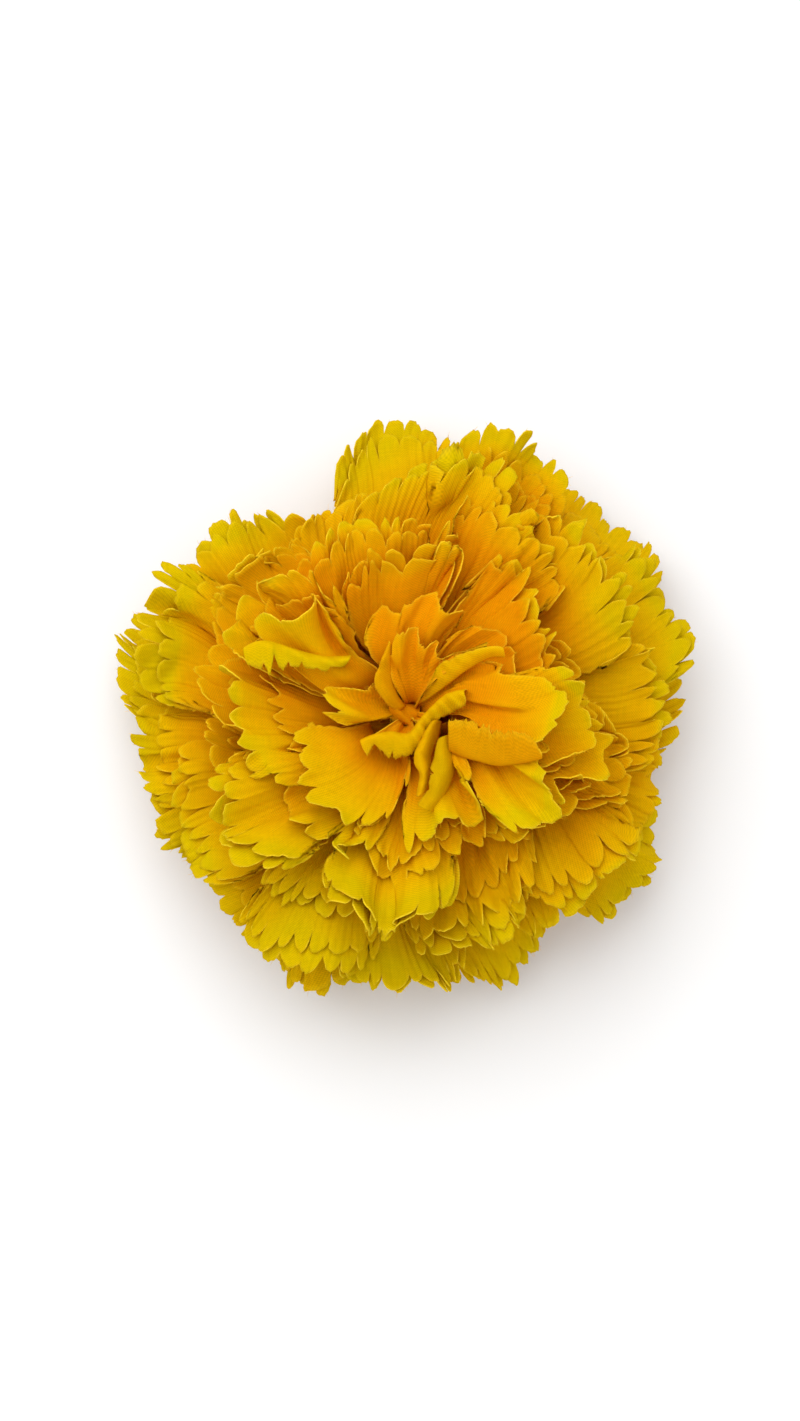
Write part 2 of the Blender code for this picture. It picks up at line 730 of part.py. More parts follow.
def sepal(number, material):
    """One pointed sepal, leaning out from the cup's rim under the first petals."""
    root_radius, root_height = SEPAL_ROOT
    steps = np.linspace(0.0, 1.0, 5)
    radius = root_radius + SEPAL_LENGTH * steps
    height = root_height + (SEPAL_TIP_Z - root_height) * steps
    half = np.maximum(SEPAL_HALF_WIDTH * (1.0 - steps**SEPAL_TAPER), SEPAL_TIP_HALF_WIDTH)
    turn = 2.0 * np.pi * number / SEPALS
    outward = np.array([np.cos(turn), np.sin(turn), 0.0])
    sideways = np.array([-np.sin(turn), np.cos(turn), 0.0])
    middle = radius[:, None] * outward + height[:, None] * np.array([0.0, 0.0, 1.0])
    left = middle - half[:, None] * sideways
    right = middle + half[:, None] * sideways
    thickness = np.array([0.0, 0.0, 0.5 * SEPAL_THICKNESS])
    corners = np.stack([left - thickness, right - thickness, right + thickness, left + thickness], axis=1)
    points = corners.reshape(-1, 3)
    faces = [(0, 1, 2, 3)]
    for step in range(len(steps) - 1):
        for corner in range(4):
            a = 4 * step + corner
            b = 4 * step + (corner + 1) % 4
            faces.append((a, b, b + 4, a + 4))
    faces.append(tuple(4 * (len(steps) - 1) + corner for corner in range(4)))
    return make_object(f"sepal {number}", points, faces, material)


def build_calyx(material):
    """The green cup with its foot, post and sepals, moulded as one."""
    profile = ((0.0, 0.0), *CUP_PROFILE, (SHOULDER_RADIUS, CUP_TOP), (POST_RADIUS, CUP_TOP))
    profile += ((POST_RADIUS, POST_TOP), (0.0, POST_TOP))
    calyx = turned("calyx", profile, CUP_SIDES, material)
    fuse(calyx, [sepal(number, material) for number in range(SEPALS)], "EXACT")


def build_cap(material):
    """The small domed cap that holds the discs down on the post."""
    low = POST_TOP + SEAT_GAP
    turns = np.radians(CAP_TURNS)
    dome = tuple((CAP_RADIUS * np.cos(turn), low + CAP_HEIGHT * np.sin(turn)) for turn in turns)
    profile = ((0.0, low), (CAP_RADIUS, low), *dome, (0.0, low + CAP_HEIGHT))
    turned("centre_cap", profile, CAP_SIDES, material)


def build_discs(material):
    """The eight cloth discs, each a ring fused with its lobes."""
    pile = Pile()
    lobes = draw_lobes()
    for disc in range(DISCS):
        height = FIRST_DISC_Z + STACK_HEIGHT * disc_layer(disc)
        target = ring(f"petal_disc_{disc + 1}", height, material)
        pieces = []
        for lobe in (lobe for lobe in lobes if lobe.disc == disc):
            laid = pile.lay(lobe)
            across, length, faces = lobe_sheet(lobe)
            points = lobe_points(lobe, laid, across, length)
            normals = lobe_normals(lobe, laid, across, length)
            points, faces = thick_sheet(points, normals, faces)
            pieces.append(make_object(f"lobe {disc} {len(pieces)}", points, faces, material))
        fuse(target, pieces, "EXACT")


def main():
    """Clear the scene and build the head from the calyx up."""
    for obj in list(bpy.data.objects):
        bpy.data.objects.remove(obj)
    cloth = make_material("yellow_cloth", (0.90, 0.50, 0.004), 0.85)
    green = make_material("green_plastic", (0.10, 0.22, 0.04), 0.45)
    amber = make_material("amber_plastic", (0.60, 0.25, 0.01), 0.4)
    build_calyx(green)
    build_discs(cloth)
    build_cap(amber)


main()
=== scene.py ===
"""A made carnation head: woven cloth petals, die-cut and pressed, on a moulded green calyx.

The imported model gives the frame: the calyx, the cap and eight petal discs. Here each disc is made
again as fine cloth, from the same curves, with its cut teeth, folds, weave and frayed edges.
Lengths are in millimetres and angles in degrees until a mesh is made, which is in metres.
"""
import logging
import math
from dataclasses import dataclass, field
from enum import Enum

import bpy
import numpy as np
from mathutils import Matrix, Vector


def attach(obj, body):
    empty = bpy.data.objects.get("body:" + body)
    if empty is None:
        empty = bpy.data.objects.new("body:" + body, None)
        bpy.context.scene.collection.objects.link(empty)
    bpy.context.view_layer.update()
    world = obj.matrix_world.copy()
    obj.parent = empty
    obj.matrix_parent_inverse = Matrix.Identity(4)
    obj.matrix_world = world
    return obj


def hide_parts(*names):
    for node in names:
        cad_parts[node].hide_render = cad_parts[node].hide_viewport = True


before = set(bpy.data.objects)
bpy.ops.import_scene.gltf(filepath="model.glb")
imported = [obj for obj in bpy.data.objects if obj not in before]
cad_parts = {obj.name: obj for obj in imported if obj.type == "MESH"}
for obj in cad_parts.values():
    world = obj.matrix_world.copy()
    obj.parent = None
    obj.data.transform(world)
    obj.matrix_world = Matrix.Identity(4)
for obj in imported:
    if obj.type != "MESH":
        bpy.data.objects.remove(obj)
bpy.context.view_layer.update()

LOG = logging.getLogger("carnation")
Array = np.ndarray
Tree = bpy.types.NodeTree
Source = bpy.types.NodeSocket | float
Point = tuple[float, float, float]
Colour = tuple[float, float, float]
Laid = tuple[float, Array]
MM = 0.001
FULL_TURN = 2.0 * np.pi
EDGE_BAND = (0.05, 0.6)


class Face(Enum):
    """The material slots of a piece of cloth, in the order that Solidify counts them."""

    UPPER = 0
    UNDER = 1
    CUT = 2


def smooth_step(value: Array, start: float, end: float) -> Array:
    """0 before start, 1 after end, and a smooth rise between them.

    Args:
        value: where the step is read.
        start: the last place that is still 0.
        end: the first place that is 1.

    Returns:
        3 t^2 - 2 t^3, where t is the share of the way from start to end.
    """
    share = np.clip((value - start) / (end - start), 0.0, 1.0)
    return share * share * (3.0 - 2.0 * share)


def read_table(table: Array, row: Array, column: Array) -> Array:
    """The value of a table between its rows and columns.

    Args:
        table: the values.
        row: places down the table, in rows.
        column: places across it, in columns.

    Returns:
        The four nearest values, weighted by how near they are along both sides.
    """
    just_inside = 1.001
    row = np.clip(row, 0.0, table.shape[0] - just_inside)
    column = np.clip(column, 0.0, table.shape[1] - just_inside)
    i = row.astype(int)
    j = column.astype(int)
    down = row - i
    across = column - j
    first = table[i, j] * (1.0 - across) + table[i, j + 1] * across
    second = table[i + 1, j] * (1.0 - across) + table[i + 1, j + 1] * across
    return first * (1.0 - down) + second * down


def near_edge(distance: Array) -> Array:
    """How near a cut edge cloth is: 1 within the start of the edge band, 0 past its end."""
    return 1.0 - smooth_step(distance, *EDGE_BAND)


def highest_near(table: Array, reach: int) -> Array:
    """The greatest value within this many cells along both sides of a table.

    Args:
        table: the values.
        reach: the number of cells to each side.

    Returns:
        A table of the same size.
    """
    for axis in (0, 1):
        edges = [(reach, reach) if side == axis else (0, 0) for side in (0, 1)]
        wide = np.pad(table, edges, mode="edge")
        count = table.shape[axis]
        shifts = [np.take(wide, np.arange(first, first + count), axis) for first in range(2 * reach + 1)]
        table = np.max(shifts, axis=0)
    return table


@dataclass
class LayerCurves:
    """The curves that the cloth follows from the post out, from the outer layer, 0, to the inner, 1.

    A curve leaves the post level, turns to its waist angle and opens to its tip angle, both
    measured from upright. Layers past 1 lie on the innermost disc's own petals.
    """

    start_radius: float = 1.9
    keys: tuple[float, ...] = (0.0, 0.2, 0.4, 0.6, 0.8, 1.0)
    waist_angles: tuple[float, ...] = (90.0, 78.0, 62.0, 40.0, 10.0, -48.0)
    tip_angles: tuple[float, ...] = (117.0, 101.0, 88.0, 79.0, 73.0, 70.0)
    bend_from: float = 1.3
    bend_step: float = 9.0
    bend_length: float = 3.4
    open_length: float = 45.0
    open_drop: float = 26.0
    tip_over: float = 90.0
    waist_under: float = 40.0
    tip_under: float = 60.0
    first_disc_z: float = 15.0
    stack_height: float = 8.0
    top_rise: float = 6.0
    least_radius: float = 0.7
    longest: float = 52.0
    length_count: int = 209
    layer_range: tuple[float, float] = (-0.15, 1.45)
    layer_count: int = 129
    lengths: Array = field(init=False)
    layers: Array = field(init=False)
    radius: Array = field(init=False)
    height: Array = field(init=False)
    spacing: Array = field(init=False)

    def __post_init__(self) -> None:
        """Work out the tables of radius, height and layer spacing, by length and layer."""
        self.lengths = np.linspace(0.0, self.longest, self.length_count)
        self.layers = np.linspace(*self.layer_range, self.layer_count)
        length = self.lengths[:, None]
        layer = self.layers[None, :]
        inside = np.clip(layer, 0.0, 1.0)
        above = np.clip(layer - 1.0, 0.0, None)
        below = np.minimum(layer, 0.0)
        waist = np.interp(inside, self.keys, self.waist_angles) - self.waist_under * below
        tip = np.interp(inside, self.keys, self.tip_angles) - self.tip_under * below
        tip = tip - self.tip_over * above
        bend = self.bend_start(np.minimum(layer, 1.0))
        bent = bend + self.bend_length
        opened = self.open_length - self.open_drop * inside
        angle = 90.0 + (waist - 90.0) * smooth_step(length, bend, bent)
        angle = np.radians(angle + (tip - waist) * smooth_step(length, bent, opened))
        self.radius = self.start_radius + self.running_total(np.sin(angle))
        level = self.first_disc_z + self.stack_height * layer + self.top_rise * above
        self.height = level + self.running_total(np.cos(angle))
        outward = np.gradient(self.radius, self.layers, axis=1)
        upward = np.gradient(self.height, self.layers, axis=1)
        spacing = upward * np.sin(angle) - outward * np.cos(angle)
        self.spacing = np.maximum(spacing, self.stack_height)

    def running_total(self, slope: Array) -> Array:
        """The integral of a slope along the lengths, down each column, by its middle values."""
        middle = 0.5 * (slope[1:] + slope[:-1]) * (self.lengths[1] - self.lengths[0])
        return np.vstack([np.zeros((1, slope.shape[1])), np.cumsum(middle, axis=0)])

    def bend_start(self, layer: Array | float) -> Array | float:
        """The length at which the cloth of a layer starts to turn up from the stack."""
        return self.bend_from + self.bend_step * (1.0 - layer)

    def row(self, length: Array) -> Array:
        """The place of a length down the tables, in rows."""
        return length / self.longest * (self.length_count - 1)

    def read(self, table: Array, length: Array, layer: Array) -> Array:
        """A value of one of the tables.

        Args:
            table: the radius, the height or the spacing.
            length: lengths along the cloth from the post.
            layer: layers.

        Returns:
            One value for each pair.
        """
        span = self.layers[-1] - self.layers[0]
        column = (layer - self.layers[0]) / span * (self.layer_count - 1)
        return read_table(table, self.row(length), column)

    def radius_at(self, length: float, layer: float) -> float:
        """The radius of one layer at one length."""
        return float(self.read(self.radius, np.array(length), np.array(layer)))

    def place(self, turn: Array, length: Array, layer: Array) -> Array:
        """Points on the curves, before the head is crumpled.

        Args:
            turn: angles round the post, in radians.
            length: lengths along the cloth from the post.
            layer: layers, 0 to 1 and a little past both.

        Returns:
            Points (r cos turn, r sin turn, height), with r and height from the tables.
        """
        radius = np.maximum(self.read(self.radius, length, layer), self.least_radius)
        height = self.read(self.height, length, layer)
        return np.stack([radius * np.cos(turn), radius * np.sin(turn), height], axis=-1)


@dataclass(frozen=True)
class Crumple:
    """The slow waves that handling gives the whole head.

    Each wave is a height, radians per millimetre along x, y and z, and a phase.
    """

    waves: tuple = (
        ((1.5, 0.0, 0.12, 0.09, 0.4), (0.9, 0.0, 0.24, -0.17, 2.0)),
        ((1.5, 0.11, 0.0, -0.08, 2.1), (0.9, 0.25, 0.0, 0.16, 0.7)),
        ((1.2, 0.12, 0.11, 0.0, 1.2), (0.6, 0.27, -0.22, 0.0, 3.0)),
    )
    middle_z: float = 19.0
    start: float = 7.0
    full: float = 20.0

    def apply(self, points: Array) -> Array:
        """Shift points by sums of sine waves, which grow with the distance from the hub.

        Args:
            points: points before the shift.

        Returns:
            Points plus step(distance) times sum(height sin(k . point + phase)) for each axis.
        """
        x, y, z = points[..., 0], points[..., 1], points[..., 2]
        hub = np.sqrt(x * x + y * y + (z - self.middle_z) ** 2)
        much = smooth_step(hub, self.start, self.full)
        shifts = [
            sum(
                height * np.sin(along_x * x + along_y * y + along_z * z + phase)
                for height, along_x, along_y, along_z, phase in waves
            )
            for waves in self.waves
        ]
        return points + much[..., None] * np.stack(shifts, axis=-1)


@dataclass(frozen=True)
class DiscPlan:
    """One die-cut disc: where its petals point, and how long, wide and lively they are."""

    azimuths: tuple[int, ...]
    half_angle: float
    length: float
    wave: float
    unrest: float
    tooth_depth: float


@dataclass(frozen=True)
class Petal:
    """One petal of a disc, as bent in the finished head. Its angles are in radians.

    Its edge plan, where it has one, gives shares of its length at places across it, from its
    right side, -1, to its left, 1. Its span leaves out a side that folds over, which is a lip.
    """

    disc: int
    azimuth: float
    half_angle: float
    root: tuple[float, float]
    length: float
    lift: float
    twist: float
    cup: float
    sweep: float
    waves: tuple
    tooth_depth: float
    teeth: int
    edge_plan: tuple[tuple[float, float], ...] = ()
    span: tuple[float, float] = (-1.0, 1.0)


@dataclass(frozen=True)
class HeadPlan:
    """The plans of the eight discs, and how far the petals differ from them."""

    discs: tuple[DiscPlan, ...] = (
        DiscPlan((94, 46, 8, -29, -68, -112, -154, 166), 16.5, 43.0, 1.4, 1.5, 3.0),
        DiscPlan((132, 74, 29, -9, -50, -90, -132, -173), 17.0, 41.5, 1.6, 2.2, 3.0),
        DiscPlan((104, 58, 10, -33, -73, -112, -158, 158), 18.0, 38.5, 1.8, 2.6, 3.0),
        DiscPlan((84, 36, -14, -64, -118, -168, 136), 20.5, 36.0, 2.0, 3.0, 2.8),
        DiscPlan((112, 62, 8, -42, -94, -146, 164), 23.0, 33.0, 2.1, 3.0, 2.6),
        DiscPlan((92, 32, -26, -86, -130, -172, 140), 26.0, 30.0, 2.3, 2.8, 2.4),
        DiscPlan((78, 28, -8, -34, -72, -132, 146), 26.0, 26.0, 2.0, 2.0, 2.0),
        DiscPlan((-125, -10, 178, 95, -52), 30.0, 20.0, 1.0, 0.5, 1.2),
    )
    seed: int = 11
    azimuth_spread: float = 2.0
    width_spread: float = 0.08
    length_spread: float = 0.12
    twist_spread: float = 1.6
    cup_range: tuple[float, float] = (-1.4, 2.6)
    sweep_spread: float = 6.0
    wave_plan: tuple = (((0.6, 1.0), 0.8), ((1.3, 2.2), 0.6))
    slit: float = 0.05
    tooth_pitch: float = 2.6
    inner_pitch: float = 3.5
    least_teeth: int = 4
    tip_share: float = 0.9

    def own_shapes(self) -> dict[tuple[int, int], dict]:
        """The petals that the photo shows to differ from the rest.

        Returns:
            Their own values, in the units of DiscPlan, by disc and place in it.
        """
        outline = (
            (48.0, 50.5, 40.0, 41.1, 39.9, 40.2, 39.5, 47.5),
            (41.8, 46.3, 46.4, 38.0, 37.4, 41.1, 37.1, 42.2),
            (36.5, 38.3, 38.0, 37.1, 37.0, 40.4, 38.9, 42.8),
        )
        shapes = {
            (disc, number): {"length": length}
            for disc, lengths in enumerate(outline)
            for number, length in enumerate(lengths)
        }
        shapes[0, 0].update(half_angle=15.5, lift=3.0, sweep=0.0)
        shapes[1, 0].update(lift=1.0)
        shapes[1, 1].update(lift=2.0)
        shapes.update({
            (6, 0): {"half_angle": 30.0, "length": 24.5, "tooth_depth": 0.8},
            (6, 1): {"half_angle": 22.0, "length": 25.0, "tooth_depth": 0.8},
            (6, 2): {"half_angle": 22.0, "length": 33.0, "lift": -1.5},
            (6, 3): {"half_angle": 20.0, "length": 33.0, "lift": -1.0},
            (6, 4): {"half_angle": 24.0, "length": 26.5, "lift": -1.0},
            (6, 5): {
                "half_angle": 40.0, "length": 27.0, "lift": -1.5, "tooth_depth": 3.0,
                "edge_plan": (
                    (-1.0, 0.85), (-0.87, 0.9), (-0.62, 0.96), (-0.3, 0.98), (-0.07, 1.0),
                    (0.3, 0.9), (0.67, 0.78), (0.85, 0.7), (1.0, 0.66),
                ),
            },
            (6, 6): {
                "half_angle": 22.0, "length": 31.0, "lift": 1.0, "cup": 0.5,
                "span": (-1.0, 0.52),
            },
            (7, 0): {
                "half_angle": 34.0, "length": 22.5, "tooth_depth": 0.4,
                "edge_plan": (
                    (-1.0, 0.8), (-0.67, 0.69), (-0.33, 0.63), (0.0, 0.6), (0.33, 0.6),
                    (0.67, 0.63), (1.0, 0.69),
                ),
            },
            (7, 1): {
                "half_angle": 34.0, "length": 34.0, "lift": -1.0, "sweep": 0.0, "tooth_depth": 1.6,
                "edge_plan": (
                    (-1.0, 0.7), (-0.7, 0.8), (-0.4, 0.86), (-0.25, 0.97), (0.0, 1.0),
                    (0.4, 0.97), (1.0, 0.75),
                ),
                "span": (-0.46, 1.0),
            },
            (7, 2): {
                "half_angle": 54.0, "length": 24.0, "lift": -1.5, "tooth_depth": 0.15,
                "edge_plan": (
                    (-1.05, 0.65), (-0.76, 0.69), (-0.64, 0.78), (-0.49, 0.84), (-0.4, 0.93), (-0.3, 1.06),
                    (-0.2, 1.0), (-0.13, 0.93), (-0.05, 0.86), (0.0, 0.83), (0.09, 0.78), (0.15, 0.68),
                    (0.17, 0.63), (0.44, 0.27),
                ),
                "span": (-1.05, 0.44),
            },
            (7, 3): {
                "half_angle": 60.0, "length": 27.0, "lift": 0.0, "tooth_depth": 0.4,
                "edge_plan": (
                    (-1.0, 1.0), (-0.96, 0.84), (-0.93, 0.77), (-0.88, 0.68), (-0.72, 0.76), (-0.6, 0.76),
                    (-0.47, 0.78), (-0.27, 0.82), (-0.15, 0.91), (-0.06, 0.9), (-0.01, 0.87), (0.02, 0.78),
                    (0.13, 0.63), (0.34, 0.57), (0.5, 0.3),
                ),
                "span": (-1.0, 0.5),
            },
            (7, 4): {"half_angle": 42.0, "length": 15.0, "lift": 3.0, "cup": 0.0, "tooth_depth": 0.6},
        })
        return shapes

    def layer_of(self, disc: int) -> float:
        """The layer, from 0 to 1, that a disc of this number has at the post."""
        return disc / (len(self.discs) - 1)

    def root_edges(self, disc: int, number: int) -> tuple[float, float]:
        """The slits on both sides of a petal's root, halfway to its neighbours.

        Args:
            disc: the disc's number.
            number: the petal's place in its disc.

        Returns:
            The angles of the right slit and the left one, in radians.
        """
        azimuths = self.discs[disc].azimuths
        azimuth = azimuths[number]
        turns = [(other - azimuth) % 360.0 for other in azimuths if other != azimuth]
        right = azimuth - 0.5 * (360.0 - max(turns)) * (1.0 - self.slit)
        left = azimuth + 0.5 * min(turns) * (1.0 - self.slit)
        return float(np.radians(right)), float(np.radians(left))

    def draw_petal(self, draw: np.random.Generator, curves: LayerCurves, disc: int, number: int) -> Petal:
        """One petal with its seeded differences, and its own shape where it has one.

        Args:
            draw: the seeded source of random numbers.
            curves: the curves, for the width of the petal's tip.
            disc: the disc's number from the outermost, 0.
            number: the petal's place in its disc.

        Returns:
            The petal.
        """
        plan = self.discs[disc]
        shape = {
            "azimuth": plan.azimuths[number] + draw.uniform(-self.azimuth_spread, self.azimuth_spread),
            "half_angle": plan.half_angle * draw.uniform(1.0 - self.width_spread, 1.0 + self.width_spread),
            "length": plan.length * draw.uniform(1.0 - self.length_spread, 1.0 + self.length_spread),
            "lift": plan.unrest * draw.uniform(-1.0, 1.0),
            "twist": draw.uniform(-self.twist_spread, self.twist_spread),
            "cup": draw.uniform(*self.cup_range),
            "sweep": draw.uniform(-self.sweep_spread, self.sweep_spread),
            "waves": tuple(
                (draw.uniform(*counts), draw.uniform(0.0, FULL_TURN), plan.wave * share)
                for counts, share in self.wave_plan
            ),
            "tooth_depth": plan.tooth_depth,
        }
        shape.update(self.own_shapes().get((disc, number), {}))
        for angle in ("azimuth", "half_angle", "sweep"):
            shape[angle] = np.radians(shape[angle])
        layer = self.layer_of(disc)
        tip_radius = curves.radius_at(self.tip_share * shape["length"], layer)
        pitch = self.tooth_pitch + (self.inner_pitch - self.tooth_pitch) * layer
        teeth = max(self.least_teeth, round(2.0 * shape["half_angle"] * tip_radius / pitch))
        root = self.root_edges(disc, number)
        return Petal(disc=disc, root=root, teeth=teeth, **shape)

    def draw_petals(self, curves: LayerCurves) -> list[Petal]:
        """Every petal, from the outermost disc in.

        Args:
            curves: the curves, for the widths of the tips.

        Returns:
            The petals, disc by disc.
        """
        draw = np.random.default_rng(self.seed)
        return [
            self.draw_petal(draw, curves, disc, number)
            for disc, plan in enumerate(self.discs)
            for number in range(len(plan.azimuths))
        ]


@dataclass
class Drape:
    """How petals rest on each other: the top layer laid so far, at each angle and length."""

    curves: LayerCurves
    crumple: Crumple
    plan: HeadPlan
    root_gap: float = 0.97
    layer_gap: float = 1.7
    inner_gap: float = 0.4
    slit_end: float = 7.5
    held_for: float = 5.0
    free_after: float = 16.0
    gap_after: float = 10.0
    tip_settle: float = 2.4
    widens_until: float = 0.85
    lift_power: float = 1.3
    cup_middle: float = 0.3
    wave_power: float = 1.6
    longest_share: float = 1.1
    farthest_across: float = 1.3
    window_share: float = 1.15
    window_margin: float = 0.1
    leaves_stack: tuple[float, float] = (-1.0, 3.0)
    normal_step: tuple[float, float] = (0.02, 0.25)
    turn_steps: int = 720
    rest_reach: int = 5
    smooth_rounds: int = 12
    cover_across: float = 1.08
    cover_along: float = 1.02
    side_rounding: float = 0.03
    corner_rounding: float = 0.14
    corner_power: int = 5
    bare: float = -1.0
    covered_above: float = -0.7
    mean_turns: int = 18
    turn_stride: int = 3
    mean_lengths: int = 12
    length_stride: int = 2
    top: Array = field(init=False)
    mean_top: Array | None = None

    def __post_init__(self) -> None:
        """Start with nothing laid."""
        self.top = np.full((self.turn_steps, len(self.curves.lengths)), self.bare)

    @property
    def turn_step(self) -> float:
        """The angle from one column of the pile to the next, in radians."""
        return FULL_TURN / self.turn_steps

    def radius_of(self, petal: Petal, length: Array) -> Array:
        """The radius that a petal's layer has at these lengths."""
        layer = self.plan.layer_of(petal.disc) + 0.0 * length
        return self.curves.read(self.curves.radius, length, layer)

    def petal_turn(self, petal: Petal, across: Array | float, length: Array) -> Array:
        """The angle round the post at a place across the petal, from -1 to 1, and along it.

        Args:
            petal: the petal.
            across: places across it.
            length: lengths along it.

        Returns:
            Angles: between the slits up to their end, then widening to the petal's own width.
        """
        share = length / petal.length
        right, left = petal.root
        free = smooth_step(length, self.slit_end, self.widens_until * petal.length)
        middle = 0.5 * (left + right)
        middle = middle + (petal.azimuth - middle) * free + petal.sweep * share * share
        half = 0.5 * (left - right)
        half = half + (petal.half_angle - half) * free
        return middle + half * across

    def petal_across(self, petal: Petal, turn: Array, length: Array) -> Array:
        """The place across the petal at an angle round the post: petal_turn() the other way.

        Args:
            petal: the petal.
            turn: angles round the post.
            length: lengths along it.

        Returns:
            Places across it, from -1 to 1 on it and past them beside it.
        """
        middle = self.petal_turn(petal, 0.0, length)
        half = self.petal_turn(petal, 1.0, length) - middle
        return (turn - middle) / half

    def wanted_layer(self, petal: Petal, across: Array, length: Array) -> Array:
        """The layer that a petal would take with nothing under it.

        Args:
            petal: the petal.
            across: places across it.
            length: lengths along it.

        Returns:
            Its disc's layer, plus lift, twist, cup and waves in millimetres over the spacing.
        """
        share = np.clip(length / petal.length, 0.0, self.longest_share)
        rise = petal.lift * share**self.lift_power + petal.twist * across * share
        rise = rise + petal.cup * (across * across - self.cup_middle) * share * share
        for count, phase, height in petal.waves:
            rise = rise + height * share**self.wave_power * np.sin(np.pi * count * across + phase)
        layer = self.plan.layer_of(petal.disc)
        rise = rise - self.tip_settle * layer * share
        bend = self.curves.bend_start(layer)
        rise = rise * smooth_step(length, bend + self.held_for, bend + self.free_after)
        return layer + rise / self.curves.read(self.curves.spacing, length, layer + 0.0 * across)

    def lay(self, petal: Petal) -> Laid:
        """Rest a petal on what is laid, and add it to that.

        Args:
            petal: the petal.

        Returns:
            The first angle of a window round it, and its layer over that window, by angle and
            length: the wanted layer, raised to clear the cloth below and smoothed.
        """
        step = self.turn_step
        reach = petal.half_angle * self.window_share + abs(petal.sweep)
        start = min(petal.azimuth - reach, petal.root[0]) - self.window_margin
        end = max(petal.azimuth + reach, petal.root[1]) + self.window_margin
        first = int(np.floor(start / step))
        last = int(np.ceil(end / step))
        columns = np.arange(first, last + 1)
        turn = columns[:, None] * step
        length = self.curves.lengths[None, :] + 0.0 * turn
        across = self.petal_across(petal, turn, length)
        inside = np.clip(across, -self.farthest_across, self.farthest_across)
        layer = self.wanted_layer(petal, inside, length)
        under = self.top[columns % self.turn_steps]
        level = self.plan.layer_of(petal.disc)
        widest = self.layer_gap + self.inner_gap * level
        bend = self.curves.bend_start(level)
        bent = bend + self.curves.bend_length
        gap = self.root_gap + (widest - self.root_gap) * smooth_step(length, bent, bent + self.gap_after)
        base = under + gap / self.curves.read(self.curves.spacing, length, np.clip(under, 0.0, 1.0))
        base = highest_near(base, self.rest_reach)
        covered = base > self.covered_above
        layer = np.where(covered, np.maximum(layer, base), layer)
        for _ in range(self.smooth_rounds):
            wide = np.pad(layer, 1, mode="edge")
            sides = wide[:-2, 1:-1] + wide[2:, 1:-1] + wide[1:-1, :-2] + wide[1:-1, 2:]
            layer = (2.0 * wide[1:-1, 1:-1] + sides) / 6.0
            layer = np.where(covered, np.maximum(layer, base), layer)
        held, freed = self.leaves_stack
        layer = level + (layer - level) * smooth_step(length, bend + held, bend + freed)
        end = self.edge_length(petal, np.clip(across, -1.0, 1.0)) if petal.edge_plan else petal.length
        mine = (np.abs(across) <= self.cover_across) & (length <= end * self.cover_along)
        self.top[columns % self.turn_steps] = np.where(mine, np.maximum(under, layer), under)
        return first * step, layer

    def points(self, petal: Petal, laid: Laid, across: Array, length: Array) -> Array:
        """Points on the middle of a laid petal's cloth, in the crumpled head.

        Args:
            petal: the petal.
            laid: what lay() gave for it.
            across: places across it, from -1 to 1.
            length: lengths along it.

        Returns:
            One point for each place.
        """
        turn = self.petal_turn(petal, across, length)
        start, layer = laid
        layer = read_table(layer, (turn - start) / self.turn_step, self.curves.row(length))
        return self.crumple.apply(self.curves.place(turn, length, layer))

    def sunk(self, petal: Petal, laid: Laid, across: Array, length: Array) -> Array:
        """How far the cloth lies below the middle height of the pile round it, in millimetres.

        Args:
            petal: the petal.
            laid: what lay() gave for it.
            across: places across it, from -1 to 1.
            length: lengths along it.

        Returns:
            The mean of the pile's top layer within the reaches of mean_turns and mean_lengths,
            less the petal's own layer, times the spacing of the layers. It is below 0 where the
            cloth stands out, and is read once every petal is laid.
        """
        if self.mean_top is None:
            table = np.maximum(self.top, 0.0)
            turns = range(-self.mean_turns, self.mean_turns + 1, self.turn_stride)
            table = np.mean([np.roll(table, shift, axis=0) for shift in turns], axis=0)
            reach = self.mean_lengths
            wide = np.pad(table, ((0, 0), (reach, reach)), mode="edge")
            shifts = range(0, 2 * reach + 1, self.length_stride)
            self.mean_top = np.mean([wide[:, shift:shift + table.shape[1]] for shift in shifts], axis=0)
        turn = self.petal_turn(petal, across, length)
        start, layer = laid
        column = self.curves.row(length)
        mine = read_table(layer, (turn - start) / self.turn_step, column)
        around = read_table(self.mean_top, (turn / self.turn_step) % (self.turn_steps - 1), column)
        return (around - mine) * self.curves.read(self.curves.spacing, length, np.clip(mine, 0.0, 1.0))

    def normals(self, petal: Petal, laid: Laid, across: Array, length: Array) -> Array:
        """Directions square to the cloth on its upper, inner face, from four points close by.

        Args:
            petal: the petal.
            laid: what lay() gave for it.
            across: places across it.
            length: lengths along it.

        Returns:
            The unit vector of (outer - inner) x (right - left) for each place.
        """
        side, along = self.normal_step
        right = self.points(petal, laid, across + side, length)
        left = self.points(petal, laid, across - side, length)
        outer = self.points(petal, laid, across, length + along)
        inner = self.points(petal, laid, across, np.maximum(length - along, 0.0))
        normal = np.cross(outer - inner, right - left)
        return normal / np.linalg.norm(normal, axis=-1, keepdims=True)

    def edge_length(self, petal: Petal, across: Array) -> Array:
        """How long the petal is at a place across it.

        Args:
            petal: the petal.
            across: places across it.

        Returns:
            Its length times its plan's share, or times 1 - side across^2 - corner |across|^5.
        """
        if petal.edge_plan:
            places, shares = zip(*petal.edge_plan)
            return petal.length * np.interp(across, places, shares)
        rounding = self.side_rounding * across**2 + self.corner_rounding * np.abs(across) ** self.corner_power
        return petal.length * (1.0 - rounding)


def link_object(name: str, data: bpy.types.ID) -> bpy.types.Object:
    """A new object in the scene.

    Args:
        name: its name.
        data: its mesh, light or camera.

    Returns:
        The object, at the origin.
    """
    piece = bpy.data.objects.new(name, data)
    bpy.context.scene.collection.objects.link(piece)
    return piece


